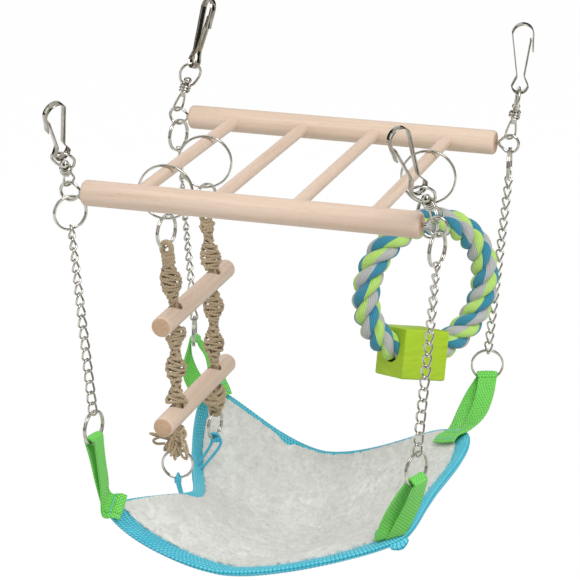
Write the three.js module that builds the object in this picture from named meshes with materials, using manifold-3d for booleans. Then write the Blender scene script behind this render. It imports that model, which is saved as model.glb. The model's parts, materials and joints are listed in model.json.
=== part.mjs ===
// Hanging suspension bridge for small animals: a wooden ladder deck on four swivel snap hooks,
// a plush hammock on chains below it, a rope ladder and a rope ring toy.
// Millimetres, +Z up. The origin is at the cage bars that carry the hooks, over the deck's middle.
import * as THREE from 'three';
import { mergeVertices } from 'three/addons/utils/BufferGeometryUtils.js';
import Module from 'manifold-3d';

// General
const CLEARANCE = 0.3;
// Play between wires that hang on each other
const HANG_PLAY = 0.7;
const DECK_DROP = 72;

// Deck: two rails joined by rungs
const RAIL_LENGTH = 200;
const RAIL_DIAMETER = 15;
const RAIL_EDGE = 2.2;
const RAIL_SPACING = 176;
const RUNG_DIAMETER = 7.5;
const RUNG_COUNT = 4;
const RUNG_SOCKET = 6;
// From the rail's end to the middle of the outer rung
const RUNG_MARGIN = 30.4;

// Screw eyes in the rail ends
const EYE_WIRE = 1.8;
const EYE_DIAMETER = 12.6;
const EYE_REACH = 15;
const SHANK_DIAMETER = 2.6;
const SHANK_LENGTH = 14;

// Swivel link: pear-shaped wire loop with a headed stem
const LINK_WIRE = 1.6;
const LINK_WIDTH = 8.8;
const LINK_HEIGHT = 13.4;
const STEM_DIAMETER = 3.2;
const HEAD_DIAMETER = 5.2;
// Half width of the pear at its shoulder and at its neck, as shares of the full half width
const LINK_SHOULDER = 0.86;
const LINK_NECK = 0.42;

// Swivel bow: wire loop wound into a coil round the stem
const BOW_WIRE = 1.7;
const BOW_WIDTH = 15;
const BOW_HEIGHT = 15.2;
const COIL_TURNS = 2.5;
const COIL_GAP = 0.08;
const COIL_PLAY = 0.35;
// Height of the bow's widest point, and half width where its legs leave the coil, as shares
const BOW_WIDEST = 0.55;
const BOW_LEG = 0.72;
// How far the arc over the crown goes round, in degrees
const BOW_SWEEP = 220;

// Snap hook: one flat strip, whose free end is the spring gate
const STRIP_WIDTH = 4.2;
const STRIP_THICKNESS = 0.7;
const HOOK_HEIGHT = 45.8;
const HOOK_WIDTH = 13.3;
const HOOK_FOOT_WIDTH = 10.5;
const HOOK_WAIST = 5.2;
const WAIST_HEIGHT = 11.6;
const NOSE_HEIGHT = 27.5;
const GATE_TIP_HEIGHT = 35.2;
// Play between the hook's foot and the bow's wire
const HOOK_PLAY = 1.2;

// Split rings: two turns of flat wire
const RING_RADIAL = 1.3;
const RING_AXIAL = 1;
const RING_TURN_GAP = 0.12;
const SMALL_RING = 21;
const LARGE_RING = 34;
const TIE_RING = 20;
const TOY_LINK_RING = 25;

// Curb chains
const CHAIN_WIRE = 1.3;
const CHAIN_LINK_PITCH = 6.8;
const CHAIN_LINK_WIDTH = 6.2;
const CHAIN_BITE = 0.1;
const CHAIN_PLAY = 0.9;

// Hammock
const CORNER_RING_X = 99;
const CORNER_RING_Y = 86.3;
const CORNER_RING_DROP = 145.7;
// Cloth corners as [x, y, z] under the deck's middle plane
const CLOTH_FRONT_LEFT = [-119.4, -85, -192.8];
const CLOTH_FRONT_RIGHT = [100.2, -85, -191.5];
const CLOTH_REAR_LEFT = [-97, 85, -157.5];
const CLOTH_REAR_RIGHT = [90.4, 85, -171.7];
// Each edge between two corners: how far it sags and is drawn in, where along it each is most,
// and how sharply it bends
const CLOTH_FRONT = { sag: 39.1, sagAt: -0.13, pull: 2.9, pullAt: -0.17, bend: 1.6 };
const CLOTH_REAR = { sag: 51, sagAt: -0.04, pull: 7.7, pullAt: 0, bend: 1.71 };
const CLOTH_LEFT = { sag: 48.3, sagAt: 0.32, pull: 49.3, pullAt: -0.38, bend: 1.71 };
const CLOTH_RIGHT = { sag: 5.3, sagAt: 0.56, pull: -6.5, pullAt: 0.87, bend: 2.48 };
// How far the blunt corners are drawn in, as a share of the half width
const CORNER_ROUNDING = 0.09;
// Facets along each side of the cloth
const CLOTH_CELLS = 12;
const PLUSH_THICKNESS = 5;
const BACKING_THICKNESS = 1.4;
const BINDING_WIDTH = 8;
const BINDING_THICKNESS = 4.4;
const WEBBING_WIDTH = 13;
const WEBBING_THICKNESS = 1.3;
const WEBBING_PLAY = 0.95;
// Length of each webbing end that is sewn down on the cloth
const WEBBING_SEWN = 22;
const CORD_DIAMETER = 1.8;
// Half the width of the cord loops
const CORD_SPREAD = 3.2;

// Rope ladder
const LADDER_Y_FRONT = -37;
const LADDER_Y_REAR = 30.5;
const LADDER_X = -65;
const LADDER_DOWEL_DIAMETER = 12.5;
const LADDER_DOWEL_LENGTH = 115;
const LADDER_DOWEL_EDGE = 1;
const UPPER_DOWEL_DROP = 88;
const LOWER_DOWEL_DROP = 152;
const ROPE_CORE = 6.4;
const SINNET_WIDTH = 13;
const SINNET_THICKNESS = 7;
const SINNET_TWIST_PITCH = 45;
const ROPE_LOOP_CORD = 3.4;
const KNOT_WIDTH = 17;
const KNOT_LENGTH = 15;
// Round eyes at both ends of the rope, and the room for a ring's wire in the lower one
const ROPE_EYE_LENGTH = 11.5;
const TIE_PLAY = 1.8;
// Knot's shoulder and flat width, as shares of its width
const KNOT_FLAT = 0.8;
const DOWEL_BORE_PLAY = 1.4;

// Rope ring toy
const TOY_Y = 41;
const TOY_ROPE_DIAMETER = 17;
const TOY_ROPE_RING = 84;
const TOY_ROPE_PITCH = 25;
const TOY_TURN = 45;
const BLOCK_SIZE = 31;
const BLOCK_EDGE = 1.2;
const ROPE_IN_BLOCK = 11;
// Block's place round the ring from the lowest point, and its roll on the rope, in degrees
const BLOCK_SWING = 12.5;
const BLOCK_ROLL = -12;

// Poses of the four hangers, in degrees: lean to the front and to the right, turn of link and bow,
// then the hook's tilt and turn on the bow
const HANGERS = {
  front_left: { x: -1, y: -1, front: 42, right: 12, link: 52, bow: 3, tilt: -8, yaw: -40 },
  front_right: { x: 1, y: -1, front: 43, right: -14, link: 45, bow: 5, tilt: -15, yaw: -40 },
  rear_left: { x: -1, y: 1, front: 1, right: 21, link: 60, bow: 37, tilt: -13, yaw: 6 },
  rear_right: { x: 1, y: 1, front: 8, right: 10.5, link: 45, bow: 106, tilt: -7, yaw: 3 },
};
// Turn of the rings that hang by themselves, in degrees from facing the front
const EYE_RING_TURN = { front_left: 46, front_right: 78, rear_left: 76, rear_right: 98 };
const CORNER_RING_TURN = { front_left: 80, front_right: 68, rear_left: 106, rear_right: 18 };
const LADDER_RING_TURN = { front: 6, rear: 12 };
const LADDER_LINK_TURN = { front: 78, rear: 70 };
const TIE_RING_TURN = { front: 14, rear: 83 };
const TOY_RING_TURN = 8;

const RAD = Math.PI / 180;
const halfTurn = (steps) => Array.from({ length: steps + 1 }, (_, i) => (180 * i) / steps);
const vec = (x, y, z) => new THREE.Vector3(x, y, z);
const wasm = await Module();
wasm.setup();

// Solids from rows of section points
function loft(rows, closed = false, paired = false) {
  const n = rows[0].length;
  const positions = rows.flat().flatMap((p) => [p.x, p.y, p.z]);
  const index = [];
  const spans = closed ? rows.length : rows.length - 1;
  for (let i = 0; i < spans; i++) {
    const next = (i + 1) % rows.length;
    for (let j = 0; j < n; j++) {
      const k = (j + 1) % n;
      const [a, b, c, d] = [i * n + j, i * n + k, next * n + k, next * n + j];
      if (paired && j >= n / 2) index.push(a, b, d, b, c, d);
      else index.push(a, b, c, a, c, d);
    }
  }
  if (!closed) {
    const last = (rows.length - 1) * n;
    for (let j = 1; j < n - 1; j++) {
      index.push(0, j + 1, j, last, last + j, last + j + 1);
    }
  }
  return outward(positions, index);
}

// A closed mesh with its faces turned outwards
function outward(positions, index) {
  const geometry = new THREE.BufferGeometry();
  geometry.setAttribute('position', new THREE.Float32BufferAttribute(positions, 3));
  let volume = 0;
  const at = (i) => vec(positions[3 * i], positions[3 * i + 1], positions[3 * i + 2]);
  for (let t = 0; t < index.length; t += 3) {
    volume += at(index[t]).dot(at(index[t + 1]).cross(at(index[t + 2])));
  }
  if (volume < 0) index.reverse();
  geometry.setIndex(index);
  return geometry;
}

// Frames carried along a path without twist; on a closed path the leftover turn is spread evenly
function pathFrames(points, closed) {
  const n = points.length;
  const tangents = points.map((p, i) => {
    const before = closed ? points[(i + n - 1) % n] : points[Math.max(i - 1, 0)];
    const after = closed ? points[(i + 1) % n] : points[Math.min(i + 1, n - 1)];
    return after.clone().sub(before).normalize();
  });
  const seed = Math.abs(tangents[0].z) < 0.9 ? vec(0, 0, 1) : vec(1, 0, 0);
  let side = seed.sub(tangents[0].clone().multiplyScalar(seed.dot(tangents[0]))).normalize();
  const sides = [side];
  const carry = (from, to, v) => {
    const turn = new THREE.Quaternion().setFromUnitVectors(from, to);
    return v.clone().applyQuaternion(turn);
  };
  for (let i = 1; i < n; i++) {
    side = carry(tangents[i - 1], tangents[i], side);
    sides.push(side);
  }
  let leftover = 0;
  if (closed) {
    const end = carry(tangents[n - 1], tangents[0], side);
    leftover = Math.atan2(end.clone().cross(sides[0]).dot(tangents[0]), end.dot(sides[0]));
  }
  return points.map((p, i) => {
    const a = sides[i].clone().applyAxisAngle(tangents[i], (leftover * i) / n);
    return { p, tangent: tangents[i], a, b: tangents[i].clone().cross(a) };
  });
}

// Round wire along a path
function wire(points, diameter, sides, closed = false) {
  const rows = pathFrames(points, closed).map(({ p, a, b }) => {
    return Array.from({ length: sides }, (_, j) => {
      const t = (2 * Math.PI * (j + 0.5)) / sides;
      return p.clone()
        .addScaledVector(a, (Math.cos(t) * diameter) / 2)
        .addScaledVector(b, (Math.sin(t) * diameter) / 2);
    });
  });
  return loft(rows, closed);
}

// Joining and cutting
function solid(geometry) {
  const bare = new THREE.BufferGeometry();
  bare.setAttribute('position', geometry.getAttribute('position').clone());
  if (geometry.index) bare.setIndex(geometry.index.clone());
  const merged = mergeVertices(bare, 1e-4);
  return new wasm.Manifold(new wasm.Mesh({
    numProp: 3,
    vertProperties: Float32Array.from(merged.getAttribute('position').array),
    triVerts: Uint32Array.from(merged.index.array),
  }));
}
function surface(manifold) {
  const mesh = manifold.getMesh();
  const geometry = new THREE.BufferGeometry();
  geometry.setAttribute('position', new THREE.Float32BufferAttribute(mesh.vertProperties, 3));
  geometry.setIndex(Array.from(mesh.triVerts));
  return geometry;
}
function join(...geometries) {
  return surface(geometries.map(solid).reduce((a, b) => a.add(b)));
}
function cut(geometry, ...tools) {
  return surface(tools.map(solid).reduce((a, b) => a.subtract(b), solid(geometry)));
}

// Rods that lie along a direction
function rod(from, to, diameter, sides) {
  const axis = to.clone().sub(from);
  const geometry = new THREE.CylinderGeometry(diameter / 2, diameter / 2, axis.length(), sides);
  const turn = new THREE.Quaternion().setFromUnitVectors(vec(0, 1, 0), axis.clone().normalize());
  geometry.applyQuaternion(turn);
  return geometry.translate(...from.clone().add(to).multiplyScalar(0.5).toArray());
}
// Turned dowel with rounded ends, along Y
function dowel(length, diameter, edge, sides) {
  const r = diameter / 2;
  const half = length / 2;
  const round = [0, 30, 60, 90].map((t) => [
    r - edge + edge * Math.sin(t * RAD),
    half - edge + edge * Math.cos(t * RAD),
  ]);
  const right = [[0, half], ...round];
  const profile = [...right, ...right.map(([x, y]) => [x, -y]).reverse()];
  return new THREE.LatheGeometry(profile.reverse().map(([x, y]) => new THREE.Vector2(x, y)), sides);
}

// Parts of the model, each with its own finish
const bridge = new THREE.Group();
const FINISH = {
  beech: { color: 0xe3cdb8, roughness: 0.6 },
  nickel: { color: 0xc9c8c4, roughness: 0.22, metalness: 1 },
  jute: { color: 0xa08a62, roughness: 0.95 },
  plush: { color: 0xe0e0da, roughness: 1 },
  backing: { color: 0xdcdcdc, roughness: 0.9 },
  binding: { color: 0x2ab4d2, roughness: 0.8 },
  webbing: { color: 0x5acd46, roughness: 0.8 },
  rope: { color: 0xa9d86a, roughness: 0.95 },
  paint: { color: 0xacca2d, roughness: 0.5 },
};
function add(name, geometry, finish) {
  const mesh = new THREE.Mesh(geometry, new THREE.MeshStandardMaterial(FINISH[finish]));
  mesh.geometry.translate(0, 0, -DECK_DROP);
  mesh.name = name;
  bridge.add(mesh);
}

// Deck
const railRadius = RAIL_DIAMETER / 2;
const railY = RAIL_SPACING / 2;
const rungEnd = railY - railRadius + RUNG_SOCKET;
const railEnd = RAIL_LENGTH / 2;
const rungPitch = (RAIL_LENGTH - 2 * RUNG_MARGIN) / Math.max(RUNG_COUNT - 1, 1);
const rungX = Array.from({ length: RUNG_COUNT }, (_, i) => RUNG_MARGIN - railEnd + i * rungPitch);
for (const [name, side] of [['front_rail', -1], ['rear_rail', 1]]) {
  const rail = dowel(RAIL_LENGTH, RAIL_DIAMETER, RAIL_EDGE, 24).rotateZ(Math.PI / 2);
  rail.translate(0, side * railY, 0);
  const sockets = rungX.map((x) => rod(
    vec(x, side * (railY - RAIL_DIAMETER), 0),
    vec(x, side * (rungEnd + CLEARANCE), 0),
    RUNG_DIAMETER + 2 * CLEARANCE, 20,
  ));
  const pilots = [-1, 1].map((end) => rod(
    vec(end * (railEnd - SHANK_LENGTH - CLEARANCE), side * railY, 0),
    vec(end * (railEnd + 5), side * railY, 0),
    SHANK_DIAMETER + 2 * CLEARANCE, 10,
  ));
  add(name, cut(rail, ...sockets, ...pilots), 'beech');
}
rungX.forEach((x, i) => {
  add(`rung_${i + 1}`, rod(vec(x, -rungEnd, 0), vec(x, rungEnd, 0), RUNG_DIAMETER, 20), 'beech');
});

// Screw eye: pear-shaped loop on a shank
const eyeRadius = (EYE_DIAMETER - EYE_WIRE) / 2;
const eyeX = railEnd + EYE_REACH - EYE_DIAMETER / 2;
function screwEye(end, y) {
  const neck = EYE_REACH - EYE_DIAMETER / 2 - EYE_WIRE / 2;
  const tangent = Math.PI - Math.acos(Math.min(eyeRadius / neck, 0.95));
  const path = [vec(-neck, 0, 0)];
  const steps = 16;
  for (let i = 0; i <= steps; i++) {
    const t = -tangent + (2 * tangent * i) / steps;
    path.push(vec(eyeRadius * Math.cos(t), 0, eyeRadius * Math.sin(t)));
  }
  const shankEnd = railEnd - SHANK_LENGTH - eyeX;
  const shank = rod(vec(shankEnd, 0, 0), vec(-neck + EYE_WIRE, 0, 0), SHANK_DIAMETER, 8);
  const eye = join(wire(path, EYE_WIRE, 6, true), shank);
  if (end < 0) eye.rotateZ(Math.PI);
  return eye.translate(end * eyeX, y, 0);
}

// Split ring: two flat turns with a short crossover between them
function splitRing(diameter, turn, centre) {
  const outer = diameter / 2;
  const inner = outer - RING_RADIAL;
  const lift = RING_AXIAL + RING_TURN_GAP;
  const steps = 17;
  const crossover = 0.42;
  const start = crossover + 0.2;
  const end = 4 * Math.PI - start;
  const rows = [];
  for (let i = 0; i <= 2 * steps; i++) {
    const t = start + ((end - start) * i) / (2 * steps);
    const ramp = THREE.MathUtils.clamp((t - 2 * Math.PI) / crossover, -1, 1);
    const mid = (ramp * lift) / 2;
    const radial = vec(Math.sin(t), 0, -Math.cos(t));
    const corner = (r, axial) => radial.clone().multiplyScalar(r).add(vec(0, mid + axial, 0));
    rows.push([
      corner(inner, -RING_AXIAL / 2), corner(outer, -RING_AXIAL / 2),
      corner(outer, RING_AXIAL / 2), corner(inner, RING_AXIAL / 2),
    ]);
  }
  return loft(rows).rotateZ(turn * RAD).translate(...centre.toArray());
}

// Hangers: link, bow, hook and gate in line, leaning as hung
const bowTop = (link) => link + BOW_HEIGHT;
function hanger({ x, y, front, right, link, bow, tilt, yaw }) {
  const origin = vec(x * eyeX, y * railY, eyeRadius);
  const axis = vec(Math.tan(right * RAD), -Math.tan(front * RAD), 1).normalize();
  const across = vec(1, 0, 0).addScaledVector(axis, -axis.x).normalize();
  const lean = new THREE.Matrix4().makeBasis(across, axis.clone().cross(across), axis).setPosition(origin);
  const turned = (angle) => lean.clone().multiply(new THREE.Matrix4().makeRotationZ(angle * RAD));

  // Link: loop under the eye's upper wire, then the stem and its head
  const bottom = -(EYE_WIRE + LINK_WIRE) / 2 - HANG_PLAY;
  const neck = bottom + LINK_HEIGHT;
  const half = (LINK_WIDTH - LINK_WIRE) / 2;
  const loop = [];
  for (let i = 0; i <= 8; i++) {
    const t = Math.PI + (Math.PI * i) / 8;
    loop.push(vec(half * Math.cos(t), 0, bottom + half + half * Math.sin(t)));
  }
  const shoulderZ = bottom + half * 1.9;
  const neckZ = neck - half * 0.35;
  loop.push(vec(half * LINK_SHOULDER, 0, shoulderZ), vec(half * LINK_NECK, 0, neckZ));
  loop.push(vec(-half * LINK_NECK, 0, neckZ), vec(-half * LINK_SHOULDER, 0, shoulderZ));
  const coilRadius = STEM_DIAMETER / 2 + COIL_PLAY + BOW_WIRE / 2;
  const coilPitch = BOW_WIRE + COIL_GAP;
  const coilBottom = neck + CLEARANCE + BOW_WIRE / 2;
  const coilTop = coilBottom + coilPitch * COIL_TURNS;
  const headZ = coilTop + BOW_WIRE / 2 + CLEARANCE + HEAD_DIAMETER * 0.4;
  const stem = rod(vec(0, 0, neck - half * 0.75), vec(0, 0, headZ), STEM_DIAMETER, 8);
  const head = new THREE.SphereGeometry(HEAD_DIAMETER / 2, 8, 5).rotateX(Math.PI / 2).scale(1, 1, 0.8);
  head.translate(0, 0, headZ);
  const linkSolid = join(wire(loop, LINK_WIRE, 6, true), stem, head).applyMatrix4(turned(link));

  // Bow: coil round the stem, then the loop up and over to the other side of the coil
  const path = [];
  const coilSteps = Math.round(COIL_TURNS * 10);
  for (let i = 0; i < coilSteps; i++) {
    const t = (i / 10 - COIL_TURNS) * 2 * Math.PI;
    const z = coilBottom + (coilPitch * i) / 10;
    path.push(vec(coilRadius * Math.cos(t), coilRadius * Math.sin(t), z));
  }
  const wide = (BOW_WIDTH - BOW_WIRE) / 2;
  const top = bowTop(coilTop);
  const rise = top - coilTop;
  const crown = rise * (1 - BOW_WIDEST);
  path.push(vec(coilRadius, 0, coilTop));
  path.push(vec(wide * BOW_LEG, 0, coilTop + rise * 0.1));
  for (let i = 0; i <= 12; i++) {
    const t = (90 - BOW_SWEEP / 2 + (BOW_SWEEP * i) / 12) * RAD;
    path.push(vec(wide * Math.cos(t), 0, coilTop + rise * BOW_WIDEST + crown * Math.sin(t)));
  }
  path.push(vec(-wide * BOW_LEG, 0, coilTop + rise * 0.16));
  path.push(vec(-coilRadius, 0, coilTop + coilPitch * 0.62));
  const bowSolid = wire(path, BOW_WIRE, 6).applyMatrix4(turned(bow));

  // Hook: the strip's outline, hung with its foot under the bow's wire and clear of the wire's curve
  const reach = (STRIP_WIDTH + BOW_WIRE * Math.abs(Math.sin(yaw * RAD))) / 2 / Math.cos(yaw * RAD);
  const bowCurve = crown * (1 - Math.sqrt(1 - (reach / wide) ** 2));
  const footRadius = (HOOK_FOOT_WIDTH - STRIP_THICKNESS) / 2;
  const footCurve = footRadius - Math.sqrt(footRadius ** 2 - (reach * Math.sin(yaw * RAD)) ** 2);
  const seat = -(BOW_WIRE + STRIP_THICKNESS) / 2 - bowCurve - footCurve - HOOK_PLAY;
  const hookAt = turned(bow)
    .multiply(new THREE.Matrix4().makeTranslation(0, 0, top))
    .multiply(new THREE.Matrix4().makeRotationX(tilt * RAD))
    .multiply(new THREE.Matrix4().makeRotationZ(yaw * RAD))
    .multiply(new THREE.Matrix4().makeTranslation(0, 0, seat));
  const { strip, gate } = hookOutlines();
  return {
    link: linkSolid,
    bow: bowSolid,
    hook: bentStrip(strip).applyMatrix4(hookAt),
    gate: bentStrip(gate).applyMatrix4(hookAt),
  };
}

// Centre lines of the strip: nose, crown, spine, foot and the short bend that carries the gate
function hookOutlines() {
  const crown = (HOOK_WIDTH - STRIP_THICKNESS) / 2;
  const crownZ = HOOK_HEIGHT - STRIP_THICKNESS - crown;
  const foot = (HOOK_FOOT_WIDTH - STRIP_THICKNESS) / 2;
  const waist = (HOOK_WAIST - STRIP_THICKNESS) / 2;
  const strip = [[crown + STRIP_THICKNESS / 2, NOSE_HEIGHT]];
  for (let i = 0; i <= 10; i++) {
    const t = (Math.PI * i) / 10;
    strip.push([crown * Math.cos(t), crownZ + crown * Math.sin(t)]);
  }
  strip.push([-waist, WAIST_HEIGHT], [-waist * 1.25, WAIST_HEIGHT - 2]);
  for (let i = 0; i <= 8; i++) {
    const t = Math.PI + (Math.PI * i) / 8;
    strip.push([foot * Math.cos(t), foot + foot * Math.sin(t)]);
  }
  strip.push([waist * 1.25, WAIST_HEIGHT - 2], [waist, WAIST_HEIGHT]);
  const tip = crown - STRIP_THICKNESS - 2 * CLEARANCE;
  const gate = [[waist, WAIST_HEIGHT + CLEARANCE], [tip, GATE_TIP_HEIGHT]];
  return { strip, gate };
}
function bentStrip(line) {
  const offset = (side) => line.map(([x, z], i) => {
    const [x0, z0] = line[Math.max(i - 1, 0)];
    const [x1, z1] = line[Math.min(i + 1, line.length - 1)];
    const length = Math.hypot(x1 - x0, z1 - z0);
    const shift = (side * STRIP_THICKNESS) / 2 / length;
    return new THREE.Vector2(x - (z1 - z0) * shift, z + (x1 - x0) * shift);
  });
  const shape = new THREE.Shape([...offset(1), ...offset(-1).reverse()]);
  const strip = new THREE.ExtrudeGeometry(shape, { depth: STRIP_WIDTH, bevelEnabled: false });
  strip.translate(0, 0, -STRIP_WIDTH / 2);
  // The outline's plane stands across the bow's wire, with the nose to the front
  return strip.applyMatrix4(new THREE.Matrix4().makeBasis(vec(0, -1, 0), vec(0, 0, 1), vec(-1, 0, 0)));
}

// Curb chain: each link is an oval twisted a quarter turn, so that equal links lock into each other
function chain(from, to, topTurn, endTurn) {
  const span = to.clone().sub(from);
  const contact = CHAIN_WIRE - CHAIN_BITE;
  const count = Math.max(1, Math.round((span.length() - contact) / CHAIN_LINK_PITCH));
  const pitch = (span.length() - contact) / count;
  const half = (pitch + contact) / 2;
  const wide = (CHAIN_LINK_WIDTH - CHAIN_WIRE) / 2;
  const spread = ((endTurn - topTurn + 180) % 180) - 90;
  const links = [];
  for (let i = 0; i < count; i++) {
    const turn = topTurn + 45 + (spread * i) / Math.max(count - 1, 1);
    const path = [];
    for (const end of [1, -1]) {
      for (const t of halfTurn(3)) {
        const x = end * wide * Math.cos(t * RAD);
        const z = end * (half - wide + wide * Math.sin(t * RAD));
        const twist = (Math.PI / 4) * (z / half);
        path.push(vec(x * Math.cos(twist), x * Math.sin(twist), z));
      }
    }
    const link = wire(path, CHAIN_WIRE, 4, true).rotateZ(turn * RAD);
    links.push(link.translate(0, 0, -(half + i * pitch)));
  }
  const hang = new THREE.Quaternion().setFromUnitVectors(vec(0, 0, -1), span.normalize());
  return join(...links).applyQuaternion(hang).translate(...from.toArray());
}

// Hammock cloth: a surface between four sagging edges
const CLOTH_HALF_X = (CLOTH_FRONT_RIGHT[0] - CLOTH_FRONT_LEFT[0]) / 2;
const CLOTH_HALF_Y = (CLOTH_REAR_LEFT[1] - CLOTH_FRONT_LEFT[1]) / 2;
function clothAt(a, b, height = 0) {
  const depth = (t, most, bend) => 1 - Math.abs(t - most * (1 - t * t)) ** bend;
  const point = (u, v) => {
    const west = (1 - u) / 2;
    const south = (1 - v) / 2;
    const front = vec(...CLOTH_FRONT_LEFT).lerp(vec(...CLOTH_FRONT_RIGHT), 1 - west);
    const rear = vec(...CLOTH_REAR_LEFT).lerp(vec(...CLOTH_REAR_RIGHT), 1 - west);
    const sway = ({ sag, sagAt, pull, pullAt, bend }, t, share, inward) => {
      return inward.clone().multiplyScalar(pull * depth(t, pullAt, bend))
        .add(vec(0, 0, -sag * depth(t, sagAt, bend))).multiplyScalar(share);
    };
    return front.lerp(rear, 1 - south)
      .add(sway(CLOTH_FRONT, u, south, vec(0, 1, 0))).add(sway(CLOTH_REAR, u, 1 - south, vec(0, -1, 0)))
      .add(sway(CLOTH_LEFT, v, west, vec(1, 0, 0))).add(sway(CLOTH_RIGHT, v, 1 - west, vec(-1, 0, 0)));
  };
  const p = point(a, b);
  const step = 0.02;
  const normal = point(a + step, b).sub(p).cross(point(a, b + step).sub(p)).normalize();
  return p.addScaledVector(normal, height);
}
// Its four corners are cut blunt
function blunt(u, v) {
  const ring = Math.max(Math.abs(u), Math.abs(v), 1e-6);
  const share = 1 - CORNER_ROUNDING * ((u * v) / ring ** 2) ** 4 * ring ** 2;
  return [u * share, v * share];
}
const cloth = (u, v, height = 0) => clothAt(...blunt(u, v), height);
const inset = (mm) => [1 - mm / CLOTH_HALF_X, 1 - mm / CLOTH_HALF_Y];
function clothSheet(low, high) {
  const cells = CLOTH_CELLS;
  const [edgeU, edgeV] = inset(BINDING_WIDTH + CLEARANCE);
  const positions = [];
  const index = [];
  const side = cells + 1;
  const id = (layer, i, j) => (layer * side + j) * side + i;
  for (const height of [low, high]) {
    for (let j = 0; j < side; j++) {
      for (let i = 0; i < side; i++) {
        const p = cloth(edgeU * ((2 * i) / cells - 1), edgeV * ((2 * j) / cells - 1), height);
        positions.push(p.x, p.y, p.z);
      }
    }
  }
  const quad = (a, b, c, d) => index.push(a, b, c, a, c, d);
  for (let j = 0; j < cells; j++) {
    for (let i = 0; i < cells; i++) {
      quad(id(1, i, j), id(1, i + 1, j), id(1, i + 1, j + 1), id(1, i, j + 1));
      quad(id(0, i, j), id(0, i, j + 1), id(0, i + 1, j + 1), id(0, i + 1, j));
    }
    quad(id(0, j, 0), id(0, j + 1, 0), id(1, j + 1, 0), id(1, j, 0));
    quad(id(0, j + 1, cells), id(0, j, cells), id(1, j, cells), id(1, j + 1, cells));
    quad(id(0, 0, j + 1), id(0, 0, j), id(1, 0, j), id(1, 0, j + 1));
    quad(id(0, cells, j), id(0, cells, j + 1), id(1, cells, j + 1), id(1, cells, j));
  }
  return outward(positions, index);
}
// Binding: folded tape all round the cloth's edge, with two cord loops for the ladder's rings
const tieX = LADDER_X;
function binding(loops) {
  const [innerU, innerV] = inset(BINDING_WIDTH);
  const cells = CLOTH_CELLS;
  const rim = [];
  for (let i = 0; i < cells; i++) rim.push([(2 * i) / cells - 1, -1]);
  for (let i = 0; i < cells; i++) rim.push([1, (2 * i) / cells - 1]);
  for (let i = 0; i < cells; i++) rim.push([1 - (2 * i) / cells, 1]);
  for (let i = 0; i < cells; i++) rim.push([-1, 1 - (2 * i) / cells]);
  const half = BINDING_THICKNESS / 2;
  const rows = rim.map(([u, v]) => [
    cloth(u, v, -half), cloth(u, v, half),
    cloth(u * innerU, v * innerV, half), cloth(u * innerU, v * innerV, -half),
  ]);
  return join(loft(rows, true), ...loops);
}
function cordLoop(y, apex, turn) {
  const [innerU] = inset(BINDING_WIDTH / 2);
  const foot = cloth(-innerU, y / CLOTH_HALF_Y);
  const bend = THREE.MathUtils.lerp(apex, foot.z, 0.3);
  const neck = apex - CORD_SPREAD * 0.3;
  const along = vec(Math.sin(turn * RAD), -Math.cos(turn * RAD), 0);
  const at = (x, z, share) => vec(x, y, z).addScaledVector(along, share * CORD_SPREAD);
  const points = [
    at(foot.x, foot.z, -0.6), at(tieX, bend, -1), at(tieX, neck, -0.75),
    at(tieX, apex, 0),
    at(tieX, neck, 0.75), at(tieX, bend, 1), at(foot.x, foot.z, 0.6),
  ];
  return wire(points, CORD_DIAMETER, 6);
}

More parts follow.
